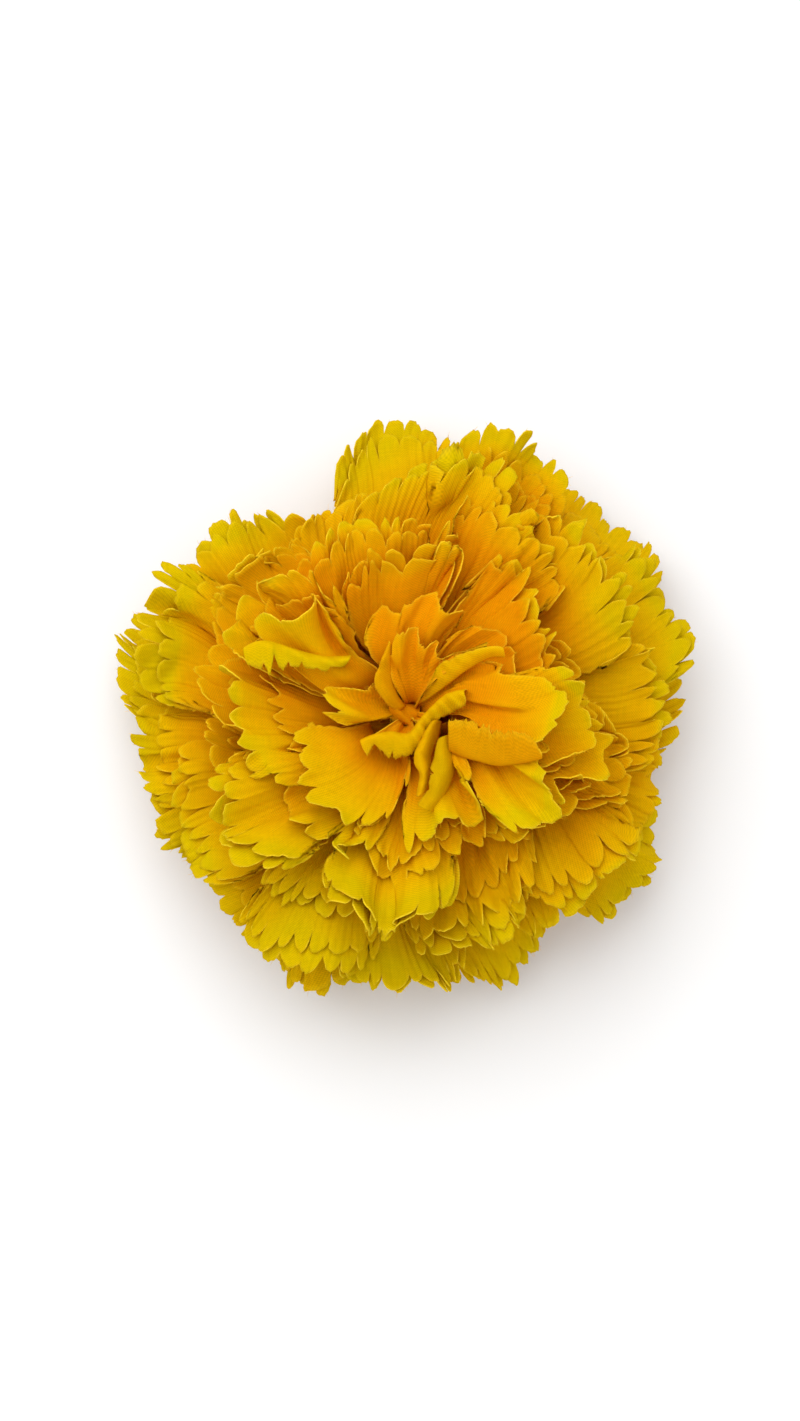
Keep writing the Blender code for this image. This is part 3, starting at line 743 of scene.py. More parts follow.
def new_mesh(name: str, points: list[Array], faces: list[list[int]]) -> bpy.types.Mesh:
    """A smooth mesh.

    Args:
        name: its name.
        points: arrays of points, in millimetres.
        faces: the numbers of each face's points.

    Returns:
        The mesh, in metres.
    """
    mesh = bpy.data.meshes.new(name)
    mesh.from_pydata((np.vstack(points) * MM).tolist(), [], faces)
    mesh.shade_smooth()
    return mesh


@dataclass
class ClothMesh:
    """Grids of points gathered into one mesh, with what the cloth's materials read."""

    points: list[Array] = field(default_factory=list)
    faces: list[Array] = field(default_factory=list)
    flat: list[Array] = field(default_factory=list)
    tone: list[Array] = field(default_factory=list)
    edge: list[Array] = field(default_factory=list)
    count: int = 0

    def add_grid(self, points: Array, flat: Array, tone: Array, edge: Array, closed: bool = False) -> None:
        """Add one grid of quads.

        Args:
            points: rows and columns of points.
            flat: the same places on the flat cloth, in millimetres.
            tone: how pale each place is coloured, from 0 to 1: its dye, with painted shade in hollows.
            edge: how near a cut edge each place is, from 0 to 1.
            closed: whether the last column joins the first.
        """
        rows, columns = points.shape[:2]
        index = self.count + np.arange(rows * columns).reshape(rows, columns)
        if closed:
            index = np.hstack([index, index[:, :1]])
        quads = np.stack([index[:-1, :-1], index[1:, :-1], index[1:, 1:], index[:-1, 1:]], axis=-1)
        self.points.append(points.reshape(-1, 3))
        self.faces.append(quads.reshape(-1, 4))
        self.flat.append(flat.reshape(-1, 2))
        self.tone.append(tone.reshape(-1))
        self.edge.append(edge.reshape(-1))
        self.count += rows * columns

    def build(self, name: str) -> bpy.types.Object:
        """Make the object, in metres, with the attributes flat, tone and edge.

        Args:
            name: the piece's name.

        Returns:
            The object, linked to the scene.
        """
        mesh = new_mesh(name, self.points, np.vstack(self.faces).tolist())
        flat = np.vstack(self.flat)
        flat = np.hstack([flat, np.zeros((len(flat), 1))]).astype(np.float32)
        mesh.attributes.new("flat", "FLOAT_VECTOR", "POINT").data.foreach_set("vector", flat.ravel())
        for key, values in (("tone", self.tone), ("edge", self.edge)):
            numbers = np.concatenate(values).astype(np.float32)
            mesh.attributes.new(key, "FLOAT", "POINT").data.foreach_set("value", numbers)
        return link_object(name, mesh)


@dataclass(frozen=True)
class Ply:
    """One of the sheets of cloth that a petal is cut from, two of them pressed together.

    The upper one is cut shorter, by a length drawn between short and shorter, and stands above
    the lower one by rise.
    """

    name: str
    short: float
    shorter: float
    rise: float


@dataclass(frozen=True)
class TonePatch:
    """A round place on the head where the colour is made deeper, or paler where its depth is below 0.

    Its middle is at an azimuth and a radius from the post, and its width is in millimetres.
    """

    azimuth: float
    radius: float
    width: float
    depth: float


@dataclass
class PetalCutter:
    """Makes the sheets of a laid petal as fine grids: their bodies, cut teeth and small folds."""

    drape: Drape
    plies: tuple[Ply, ...] = (Ply("lower", 0.0, 0.0, -0.2), Ply("upper", 0.8, 6.5, 0.6))
    single_from: int = 6
    column_shares: tuple[float, ...] = (0.0, 0.05, 0.14, 0.25, 0.36, 0.47, 0.58, 0.69, 0.8, 0.9, 0.96)
    finer_teeth: float = 1.15
    least_teeth: int = 3
    full_tooth: float = 2.6
    tooth_widths: tuple[float, float] = (0.55, 1.45)
    point_share: tuple[float, float] = (0.1, 0.75)
    inner_point_share: tuple[float, float] = (0.55, 1.0)
    point_spread: float = 0.2
    lean: float = 0.4
    inner_lean: float = 1.0
    slit_range: tuple[float, float] = (0.5, 1.2)
    deep_slits: tuple[float, float] = (0.25, 1.6)
    tip_range: tuple[float, float] = (-0.9, 0.5)
    slant_spread: float = 0.8
    tooth_lift: float = 0.7
    lift_range: tuple[float, float] = (-0.7, 1.0)
    lift_power: float = 1.5
    finger_power: int = 9
    point_power: float = 1.5
    edge_nick: float = 0.09
    inner_nick: float = 1.8
    tooth_base: float = 1.3
    least_tooth: float = 0.4
    body_rows: int = 16
    body_power: float = 1.8
    tooth_rows: int = 6
    root_start: float = 0.4
    side_nick: float = 0.035
    nick_power: int = 8
    nicks_from: tuple[float, float] = (10.0, 20.0)
    short_power: int = 3
    short_slant: float = 1.2
    farthest_beyond: float = 1.2
    ply_rise_length: float = 12.0
    ply_curl: float = 0.9
    ruffle_height: float = 1.2
    ruffle_range: tuple[float, float] = (0.4, 1.3)
    ruffle_length: tuple[float, float] = (7.0, 14.0)
    rim_power: int = 6
    drift: float = 2.0
    pleats: tuple[tuple[float, float], ...] = ((2.2, 0.5), (3.6, 0.35), (5.7, 0.22))
    pleat_height: float = 0.30
    pleat_spread: tuple[float, float] = (0.8, 1.25)
    pleat_drift: float = 1.5
    folds_grow: tuple[float, float] = (0.3, 1.0)
    crease_height: float = 0.16
    crease_widths: tuple[tuple[float, float], ...] = ((2.0, 3.2), (0.9, 1.5))
    crease_share: float = 0.4
    rim_curl: tuple[float, float] = (-0.8, 2.6)
    rim_tilt: float = 1.6
    rim_wave: float = 1.0
    rim_turns: tuple[float, float] = (2.0, 5.0)
    rim_powers: tuple[float, float] = (6.0, 12.0)
    crinkles: int = 3
    crinkle_height: float = 0.09
    crinkle_along: tuple[float, float] = (0.5, 1.3)
    crinkle_across: tuple[float, float] = (8.0, 20.0)
    liveliness: tuple[float, ...] = (1.0, 1.0, 1.0, 1.0, 1.0, 1.0, 0.6, 0.25)
    hub_radius: float = 1.9
    least_radius: float = 2.0
    deepest: tuple[float, float] = (2.0, 5.0)
    head_rises: tuple[Point, ...] = ((0.68, 3.0, 36.0), (0.27, 32.0, 46.0))
    petal_rise: Point = (0.22, 0.5, 1.0)
    # Painted shade: the tone is deepened to orange where the cloth lies sunk below the petals round it.
    painted_hollow_shade: float = 0.155
    hollow_ease: float = 4.0
    own_tone: float = 0.12
    patches: tuple[TonePatch, ...] = tuple(
        TonePatch(*values)
        for values in (
            (60.0, 16.0, 9.0, 0.25), (128.0, 20.0, 6.0, 0.30), (176.0, 22.0, 5.0, 0.2),
            (182.0, 14.0, 5.0, -0.2), (-35.0, 10.0, 6.0, 0.3), (15.0, 6.0, 5.0, 0.25),
            (90.0, 22.0, 5.0, 0.2), (22.0, 28.0, 7.0, -0.22), (-48.0, 28.0, 7.0, -0.22),
            (-22.0, 35.0, 6.0, -0.15), (-120.0, 22.0, 6.0, -0.22), (-120.0, 34.0, 7.0, -0.25),
            (-148.0, 41.0, 6.0, -0.25), (-60.0, 41.0, 6.0, -0.18), (-130.0, 14.0, 9.0, -0.1),
            (5.0, 29.0, 8.0, -0.4), (128.0, 37.0, 6.0, -0.3), (104.0, 42.0, 8.0, -0.3),
            (-90.0, 36.0, 12.0, -0.2), (60.0, 36.0, 7.0, 0.2),
        )
    )

    def teeth(self, petal: Petal, draw: np.random.Generator) -> tuple[Array, Array, Array, Array]:
        """The cut edge of a sheet, column by column.

        With x rising from 0 at a tooth's sides to 1 at its middle, its outline is the sum of a
        finger, 1 - (1 - x)^9, and a point, 1 - (1 - x)^1.5, in shares that differ from tooth to
        tooth. Raising the place across to a power first leans the tooth to one side.

        Args:
            petal: the petal.
            draw: the sheet's own random numbers.

        Returns:
            Places across the petal, the length to the edge there, the length at which the teeth
            start, and how far each column is lifted at the edge.
        """
        right, left = petal.span
        count = max(self.least_teeth, round(petal.teeth * self.finer_teeth * 0.5 * (left - right)))
        even = min(1.0, petal.tooth_depth / self.full_tooth)
        shares = np.concatenate([np.array(self.column_shares) + tooth for tooth in range(count)])
        shares = np.append(shares, count)
        tooth = np.minimum(shares.astype(int), count - 1)
        within = shares - tooth
        uneven = np.cumsum(draw.uniform(*self.tooth_widths, count + 1))
        uneven = (uneven - uneven[0]) / (uneven[-1] - uneven[0])
        across = right + (left - right) * np.interp(shares, np.arange(count + 1), uneven)
        inner = petal.disc >= self.single_from - 1
        point = draw.uniform(*(self.inner_point_share if inner else self.point_share))
        point = point + self.point_spread * draw.uniform(-1.0, 1.0, count)[tooth]
        point = np.clip(point, 0.0, 1.0)
        lean = np.exp((self.inner_lean if inner else self.lean) * draw.uniform(-1.0, 1.0, count))[tooth]
        often, deeper = self.deep_slits
        slit = draw.uniform(*self.slit_range, count + 1)
        slit = slit * np.where(draw.random(count + 1) < often, deeper, 1.0)
        slit = petal.tooth_depth * (slit[tooth] * (1.0 - within) + slit[tooth + 1] * within)
        tip = even * draw.uniform(*self.tip_range, count)[tooth]
        slant = even * draw.uniform(-self.slant_spread, self.slant_spread, count)[tooth] * (within - 0.5)
        lift = even * self.tooth_lift * draw.uniform(*self.lift_range, count)[tooth]
        side = np.abs(2.0 * within**lean - 1.0)
        outline = (1.0 - point) * (1.0 - side**self.finger_power) + point * (1.0 - side**self.point_power)
        full = self.drape.edge_length(petal, across)
        edge = full - slit * (1.0 - outline) + (tip + slant) * outline
        nick = self.edge_nick * (self.inner_nick if petal.disc >= self.single_from else 1.0)
        edge = edge + draw.normal(0.0, nick, len(edge))
        notch = np.minimum(full - self.tooth_base * petal.tooth_depth, edge - self.least_tooth)
        return across, edge, notch, lift

    @staticmethod
    def wave(turns: float, across: Array, share: Array, drift: float, phase: float) -> Array:
        """A sine with this many turns from side to side, which drifts along the petal."""
        return np.sin(np.pi * turns * across + drift * share + phase)

    def folds(self, petal: Petal, across: Array, length: Array, draw: np.random.Generator) -> Array:
        """Folds of the cloth, as heights along its normal.

        Args:
            petal: the petal.
            across: places across it.
            length: lengths along it.
            draw: the petal's own random numbers.

        Returns:
            Ruffles near the edge, pleats that run from the root, pressed creases between them, a
            curl of the rim and a crinkle. Ruffles and pleats are waves, and a crease is a wave
            w made sharp, 1 - 2 |w|. All grow along the petal.
        """
        share = length / petal.length
        full_share = np.clip(share, 0.0, self.drape.longest_share)
        layer = self.drape.plan.layer_of(petal.disc)
        width = 2.0 * petal.half_angle * self.drape.curves.radius_at(petal.length, layer)
        ruffles = width / draw.uniform(*self.ruffle_length)
        drift = draw.uniform(-self.drift, self.drift)
        phase = draw.uniform(0.0, FULL_TURN)
        big = self.ruffle_height * draw.uniform(*self.ruffle_range) * full_share**self.rim_power
        height = big * self.wave(ruffles, across, share, drift, phase)
        grow = smooth_step(share, *self.folds_grow)
        for count, weight in self.pleats:
            turns = count * draw.uniform(*self.pleat_spread)
            drift = draw.uniform(-self.pleat_drift, self.pleat_drift)
            phase = draw.uniform(0.0, FULL_TURN)
            wave = self.wave(turns, across, share, drift, phase)
            height = height + self.pleat_height * grow * weight * wave
        for spread in self.crease_widths:
            creases = width / draw.uniform(*spread)
            phase = draw.uniform(0.0, FULL_TURN)
            drift = draw.uniform(-self.drift, self.drift)
            sharp = 1.0 - 2.0 * np.abs(self.wave(creases, across, share, drift, phase))
            height = height + self.crease_height * (self.crease_share * spread[0]) * grow * sharp
        curl = draw.uniform(*self.rim_curl) + self.rim_tilt * draw.uniform(-1.0, 1.0) * across
        phase = draw.uniform(0.0, FULL_TURN)
        curl = curl + self.rim_wave * np.sin(draw.uniform(*self.rim_turns) * across + phase)
        height = height + curl * full_share ** draw.uniform(*self.rim_powers)
        for _ in range(self.crinkles):
            along = draw.uniform(*self.crinkle_along)
            sideways = draw.uniform(*self.crinkle_across) * draw.choice([-1.0, 1.0])
            phase = draw.uniform(0.0, FULL_TURN)
            height = height + self.crinkle_height * grow * np.sin(along * length + sideways * across + phase)
        return height * self.liveliness[petal.disc]

    def tone_from_dye_and_shade(self, points: Array, share: Array, sunk: Array, own: float) -> Array:
        """How pale the cloth is coloured, from 0 to 1: its dye, with painted shade where it has sunk.

        Args:
            points: points of the cloth.
            share: how far along the petal they are, from 0 to 1.
            sunk: how far they lie below the pile round them.
            own: the sheet's own difference.

        Returns:
            Rises from the deepest place to the head's rim, plus one along the petal, less
            s / (1 + |s| / ease) where it has sunk by s, which is painted shade, and less a bell
            exp(-d^2 / w^2) for each patch, where d is the distance from its middle.
        """
        x, y = points[..., 0], points[..., 1]
        far = np.hypot(x - self.deepest[0], y - self.deepest[1])
        tone = sum(rise * smooth_step(far, start, end) for rise, start, end in self.head_rises)
        rise, start, end = self.petal_rise
        tone = tone + rise * smooth_step(share, start, end) + own
        sunk = np.maximum(sunk, -self.hollow_ease)
        # Painted shade: deeper orange where the cloth has sunk among the petals.
        tone = tone - self.painted_hollow_shade * sunk / (1.0 + np.abs(sunk) / self.hollow_ease)
        for patch in self.patches:
            turn = np.radians(patch.azimuth)
            away = (x - patch.radius * np.cos(turn)) ** 2 + (y - patch.radius * np.sin(turn)) ** 2
            tone = tone - patch.depth * np.exp(-away / patch.width**2)
        return np.clip(tone, 0.0, 1.0)

    def flat_places(self, petal: Petal, across: Array, length: Array) -> Array:
        """The same places on the flat disc, in millimetres, before it is bent.

        Args:
            petal: the petal.
            across: places across it.
            length: lengths along it.

        Returns:
            Pairs: the length out from the hub and the arc beside it, turned by the azimuth.
        """
        turn = self.drape.petal_turn(petal, across, length) - self.drape.petal_turn(petal, 0.0, length)
        aside = turn * np.maximum(self.drape.radius_of(petal, length), self.least_radius)
        out = length + self.hub_radius
        cosine, sine = np.cos(petal.azimuth), np.sin(petal.azimuth)
        return np.stack([out * cosine - aside * sine, out * sine + aside * cosine], axis=-1)

    def cut(self, petal: Petal, laid: Laid, mesh: ClothMesh, seed: int) -> Array:
        """Add a petal's sheets to a mesh.

        Args:
            petal: the petal.
            laid: where the drape laid it.
            mesh: the cloth that it joins.
            seed: the seed of its small differences.

        Returns:
            The points of its cut edges, with the directions in which they end, for loose fibres.
        """
        plies = self.plies[:1] if petal.disc >= self.single_from else self.plies
        rims = [self.cut_ply(petal, ply, laid, mesh, seed, number) for number, ply in enumerate(plies)]
        return np.concatenate(rims)

    def cut_ply(
        self, petal: Petal, ply: Ply, laid: Laid, mesh: ClothMesh, seed: int, number: int
    ) -> Array:
        """Add one sheet of a petal to a mesh.

        Args:
            petal: the petal.
            ply: which of its sheets.
            laid: where the drape laid it.
            mesh: the cloth that it joins.
            seed: the seed of the petal's folds.
            number: the sheet's number, for its own differences.

        Returns:
            The points of its cut edge, with the directions in which they end.
        """
        draw = np.random.default_rng((seed, number))
        across, edge, notch, lift = self.teeth(petal, draw)
        short = ply.short + (ply.shorter - ply.short) * draw.random() ** self.short_power
        short = short + (draw.uniform(-self.short_slant, self.short_slant) * across if number else 0.0)
        edge = edge - short
        notch = notch - short
        share = np.linspace(0.0, 1.0, self.body_rows)
        body = 0.5 * share + 0.5 * (1.0 - (1.0 - share) ** self.body_power)
        tips = np.linspace(0.0, 1.0, self.tooth_rows + 1)[1:]
        start = self.root_start
        length = np.vstack([
            start + body[:, None] * (notch - start)[None, :],
            notch[None, :] + tips[:, None] * (edge - notch)[None, :],
        ])
        nicks = draw.uniform(-self.side_nick, self.side_nick, len(length))
        sides = np.abs(across) ** self.nick_power * smooth_step(length, *self.nicks_from)
        places = across + nicks[:, None] * sides
        points = self.drape.points(petal, laid, places, length)
        normals = self.drape.normals(petal, laid, places, length)
        raised = self.folds(petal, places, length, np.random.default_rng(seed))
        beyond = (length - notch) / (self.tooth_base * petal.tooth_depth)
        beyond = np.clip(beyond, 0.0, self.farthest_beyond)
        raised = raised + lift[None, :] * beyond**self.lift_power
        bend = self.drape.curves.bend_start(self.drape.plan.layer_of(petal.disc))
        raised = raised + ply.rise * smooth_step(length, bend, bend + self.ply_rise_length)
        curled = (length / petal.length) ** self.rim_power
        raised = raised + number * self.ply_curl * draw.random() * curled
        points = points + raised[..., None] * normals
        sunk = self.drape.sunk(petal, laid, places, length)
        tone = self.tone_from_dye_and_shade(points, length / petal.length, sunk, draw.uniform(-self.own_tone, self.own_tone))
        radius = self.drape.radius_of(petal, length)
        to_side = (1.0 - np.abs(places)) * petal.half_angle * radius + EDGE_BAND[0]
        flat = self.flat_places(petal, places, length)
        mesh.add_grid(points, flat, tone, near_edge(np.minimum(edge - length, to_side)))
        return np.stack([points[-1], points[-1] - points[-2]], axis=1)


@dataclass(frozen=True)
class Lip:
    """A curled part of an inner petal, given by three lines through points in the head's frame.

    The cloth comes up from the root, turns over at the fold and ends at the rim, which is cut
    into teeth by slits, whose depth is a share of the way from root to rim. Outside is the face
    that shows on the outer side of the turn, and disc is the disc that it belongs to.
    """

    disc: int
    root: tuple[Point, ...]
    fold: tuple[Point, ...]
    rim: tuple[Point, ...]
    teeth: int
    slit: float
    tone: float
    outside: Face


@dataclass
class LipMaker:
    """Makes the curled lips as fine grids."""

    columns: int = 12
    rows: int = 14
    nick: float = 0.012
    tooth_widths: tuple[float, float] = (0.5, 1.5)
    slit_share: float = 1.4
    bluntness: tuple[float, float] = (1.2, 7.0)
    wobble: float = 0.25
    wobbles: int = 3
    wobble_turns: tuple[float, float] = (0.5, 3.0)
    tone_rise: float = 0.25

    @staticmethod
    def line(points: tuple[Point, ...], count: int) -> Array:
        """A smooth line through points.

        Args:
            points: the points that it goes through.
            count: how many points of it are wanted.

        Returns:
            Points of the Catmull-Rom curve, evenly spaced in its parameter.
        """
        known = np.array(points)
        place = np.linspace(0.0, len(known) - 1.0, count)
        first = np.minimum(place.astype(int), len(known) - 2)
        t = (place - first)[:, None]
        before = known[np.maximum(first - 1, 0)]
        start = known[first]
        end = known[first + 1]
        after = known[np.minimum(first + 2, len(known) - 1)]
        bend = (2.0 * before - 5.0 * start + 4.0 * end - after) * t**2
        twist = (3.0 * start - before - 3.0 * end + after) * t**3
        return 0.5 * (2.0 * start + (end - before) * t + bend + twist)

    def lay(self, lip: Lip, mesh: ClothMesh, seed: int) -> Array:
        """Add a lip to a mesh.

        Args:
            lip: the lip.
            mesh: the cloth that it joins.
            seed: the seed of its small differences.

        Returns:
            The points of its cut edge, with the directions in which they end. Across a lip the
            cloth follows (1 - t)^2 root + 2 t (1 - t) middle + t^2 rim, with middle = 2 fold -
            (root + rim) / 2, so that it goes through the fold at t = 1/2.
        """
        draw = np.random.default_rng(seed)
        count = self.columns * lip.teeth + 1
        root, fold, rim = (self.line(points, count) for points in (lip.root, lip.fold, lip.rim))
        middle = 2.0 * fold - 0.5 * (root + rim)
        place = np.linspace(0.0, lip.teeth, count)
        uneven = np.cumsum(draw.uniform(*self.tooth_widths, lip.teeth + 1))
        ends = lip.teeth * (uneven - uneven[0]) / (uneven[-1] - uneven[0])
        teeth = np.interp(place, ends, np.arange(lip.teeth + 1))
        side = np.abs(2.0 * (teeth % 1.0) - 1.0)
        slits = lip.slit * draw.uniform(0.0, self.slit_share, lip.teeth + 2)
        depth = np.interp(teeth, np.arange(lip.teeth + 2), slits)
        blunt = draw.uniform(*self.bluntness, lip.teeth + 1)[teeth.astype(int)]
        end = 1.0 - depth * side**blunt + draw.normal(0.0, self.nick, count)
        share = np.linspace(0.0, 1.0, self.rows)[:, None]
        t = (share * end[None, :])[..., None]
        points = (1.0 - t) ** 2 * root + 2.0 * t * (1.0 - t) * middle + t**2 * rim
        turns = draw.uniform(*self.wobble_turns, self.wobbles)
        for along, phase in zip(turns, draw.uniform(0.0, FULL_TURN, self.wobbles)):
            wave = np.sin(along * (points[..., 0] + points[..., 1]) + phase)
            points[..., 2] += self.wobble * wave * t[..., 0]
        out = fold - 0.5 * (root + rim)
        half = self.rows // 2
        face = np.cross(points[half + 1] - points[half - 1], np.gradient(points[half], axis=0))
        upper_out = np.sum(face * out) > 0.0
        if upper_out != (lip.outside is Face.UPPER):
            points, root, fold, rim = points[:, ::-1], root[::-1], fold[::-1], rim[::-1]
        along = np.append(0.0, np.cumsum(np.linalg.norm(np.diff(fold, axis=0), axis=1)))
        width = np.linalg.norm(fold - root, axis=1) + np.linalg.norm(rim - fold, axis=1)
        across = share * width[None, :]
        flat = np.stack([across, along[None, :] + 0.0 * across], axis=-1)
        tone = lip.tone + self.tone_rise * (across / width - 0.5)
        mesh.add_grid(points, flat, np.clip(tone, 0.0, 1.0), near_edge(width[None, :] - across))
        return np.stack([points[-1], points[-1] - points[-2]], axis=1)


@dataclass
class Hub:
    """The ring of each disc, flat round the post."""

    hole: float = 1.6
    rim: float = 3.2
    sides: int = 48
    circles: int = 4

    def lay(self, mesh: ClothMesh, height: float) -> None:
        """Add the ring: circles of radius r at one height, r from the hole to the rim.

        Args:
            mesh: the cloth that it joins.
            height: the disc's height at the post.
        """
        radius = np.linspace(self.hole, self.rim, self.circles)[:, None]
        turn = np.linspace(0.0, FULL_TURN, self.sides, endpoint=False)[None, :]
        x = radius * np.cos(turn)
        y = radius * np.sin(turn)
        points = np.stack([x, y, height + 0.0 * x], axis=-1)
        mesh.add_grid(points, points[..., :2], 0.0 * x, 0.0 * x, closed=True)


@dataclass
class FibreBundle:
    """Loose ends of thread along the cut edges: thin tapered prisms on short bent lines."""

    sides: int = 3
    steps: int = 3
    radius: float = 0.035
    shortest: float = 0.3
    longest: float = 0.9
    per_petal: int = 36
    taper: float = 0.33
    any_way: Point = (0.31, 0.22, 0.93)
    scatter: float = 0.45
    bend: float = 0.5
    reach_power: float = 1.5
    root_sunk: float = 0.1
    least_length: float = 1e-9
    nudge: float = 1e-6
    points: list[Array] = field(default_factory=list)
    faces: list[Array] = field(default_factory=list)
    count: int = 0

    def add_tube(self, line: Array, radius: float) -> None:
        """Add one thread: a prism round a line, its radius falling to a third at its free end.

        Args:
            line: the points that it follows.
            radius: its radius at the root.
        """
        ahead = np.gradient(line, axis=0)
        ahead /= np.linalg.norm(ahead, axis=1, keepdims=True) + self.least_length
        aside = np.cross(ahead, np.array(self.any_way))
        aside /= np.linalg.norm(aside, axis=1, keepdims=True) + self.least_length
        up = np.cross(ahead, aside)
        turn = np.linspace(0.0, FULL_TURN, self.sides, endpoint=False)[None, :, None]
        size = radius * np.linspace(1.0, self.taper, len(line))[:, None, None]
        circle = np.cos(turn) * aside[:, None, :] + np.sin(turn) * up[:, None, :]
        points = line[:, None, :] + size * circle
        rows = len(line)
        index = self.count + np.arange(rows * self.sides).reshape(rows, self.sides)
        after = np.roll(index, -1, axis=1)
        quads = np.stack([index[:-1], after[:-1], after[1:], index[1:]], axis=-1).reshape(-1, 4)
        self.points.append(points.reshape(-1, 3))
        self.faces.extend([quads.tolist(), [index[0, ::-1].tolist(), index[-1].tolist()]])
        self.count += rows * self.sides

    def fray(self, rim: Array, draw: np.random.Generator) -> None:
        """Add short loose ends along one petal's cut edge.

        Args:
            rim: edge points with their outward directions, from PetalCutter.cut().
            draw: random numbers.
        """
        chosen = draw.choice(len(rim) - 1, self.per_petal)
        place = draw.uniform(0.0, 1.0, self.per_petal)[:, None]
        roots = rim[chosen, 0] * (1.0 - place) + rim[chosen + 1, 0] * place
        ahead = rim[chosen, 1] + self.nudge
        ahead /= np.linalg.norm(ahead, axis=1, keepdims=True)
        ahead = ahead + draw.uniform(-self.scatter, self.scatter, ahead.shape)
        bend = draw.uniform(-self.bend, self.bend, ahead.shape)
        reach = draw.uniform(self.shortest, self.longest, self.per_petal) ** self.reach_power
        share = np.linspace(0.0, 1.0, self.steps)
        for root, way, curve, length in zip(roots, ahead, bend, reach):
            line = root + length * (share[:, None] * way + share[:, None] ** 2 * curve)
            self.add_tube(line - self.root_sunk * way, self.radius)

    def build(self, name: str) -> bpy.types.Object:
        """Make the object, in metres.

        Args:
            name: the piece's name.

        Returns:
            The object, linked to the scene.
        """
        faces = [face for group in self.faces for face in group]
        return link_object(name, new_mesh(name, self.points, faces))


def new_group(
    name: str, inputs: tuple, outputs: tuple
) -> tuple[Tree, bpy.types.Node, bpy.types.Node]:
    """A shader node group with named sockets and nothing yet between them.

    Args:
        name: the group's name.
        inputs: (name, socket type, starting value or None) for each input.
        outputs: (name, socket type) for each output.

    Returns:
        The group's tree, and the nodes that hold its inputs and its outputs.
    """
    tree = bpy.data.node_groups.new(name, "ShaderNodeTree")
    for label, kind, value in inputs:
        socket = tree.interface.new_socket(label, in_out="INPUT", socket_type=kind)
        if value is not None:
            socket.default_value = value
    for label, kind in outputs:
        tree.interface.new_socket(label, in_out="OUTPUT", socket_type=kind)
    return tree, tree.nodes.new("NodeGroupInput"), tree.nodes.new("NodeGroupOutput")


def feed(tree: Tree, socket: bpy.types.NodeSocket, value: Source | tuple) -> None:
    """Link a socket into an input, or set the input to a number or a colour.

    Args:
        tree: the tree of both.
        socket: the input.
        value: a socket, a number or a colour.
    """
    if isinstance(value, bpy.types.NodeSocket):
        tree.links.new(value, socket)
    else:
        socket.default_value = value


def maths(tree: Tree, operation: str, first: Source, second: Source = 0.0, clamp: bool = False) -> Source:
    """A Math node's output.

    Args:
        tree: the tree that it joins.
        operation: Blender's name of the sum.
        first: a socket or a number.
        second: a socket or a number.
        clamp: whether the result is kept from 0 to 1.

    Returns:
        The output socket.
    """
    node = tree.nodes.new("ShaderNodeMath")
    node.operation = operation
    node.use_clamp = clamp
    feed(tree, node.inputs[0], first)
    feed(tree, node.inputs[1], second)
    return node.outputs[0]


def mix_colours(
    tree: Tree, share: Source, first: Source | tuple, second: Source | tuple, blend: str = "MIX"
) -> Source:
    """A Mix node's colour output.

    Args:
        tree: the tree that it joins.
        share: how much of the second colour, a socket or a number.
        first: a socket or a colour.
        second: a socket or a colour.
        blend: Blender's name of the way they mix.

    Returns:
        The output socket.
    """
    node = tree.nodes.new("ShaderNodeMix")
    node.data_type = "RGBA"
    node.blend_type = blend
    # The two colours are the node's inputs 6 and 7.
    for number, value in ((0, share), (6, first), (7, second)):
        feed(tree, node.inputs[number], value)
    return node.outputs[2]


def noise(tree: Tree, vector: Source, scale: float, detail: float = 3.0) -> Source:
    """A Noise texture's value, from 0 to 1.

    Args:
        tree: the tree that it joins.
        vector: the socket of its places.
        scale: how fine it is.
        detail: how many times finer noise is added.

    Returns:
        The output socket.
    """
    node = tree.nodes.new("ShaderNodeTexNoise")
    node.inputs["Scale"].default_value = scale
    node.inputs["Detail"].default_value = detail
    tree.links.new(vector, node.inputs["Vector"])
    return node.outputs[0]


def relief(tree: Tree, height: Source, strength: float, distance: float) -> Source:
    """A Bump node's normal.

    Args:
        tree: the tree that it joins.
        height: the socket of the height.
        strength: the share of it that shows.
        distance: the metres that a height of 1 stands for.

    Returns:
        The output socket.
    """
    bump = tree.nodes.new("ShaderNodeBump")
    bump.inputs["Strength"].default_value = strength
    bump.inputs["Distance"].default_value = distance
    tree.links.new(height, bump.inputs["Height"])
    return bump.outputs[0]


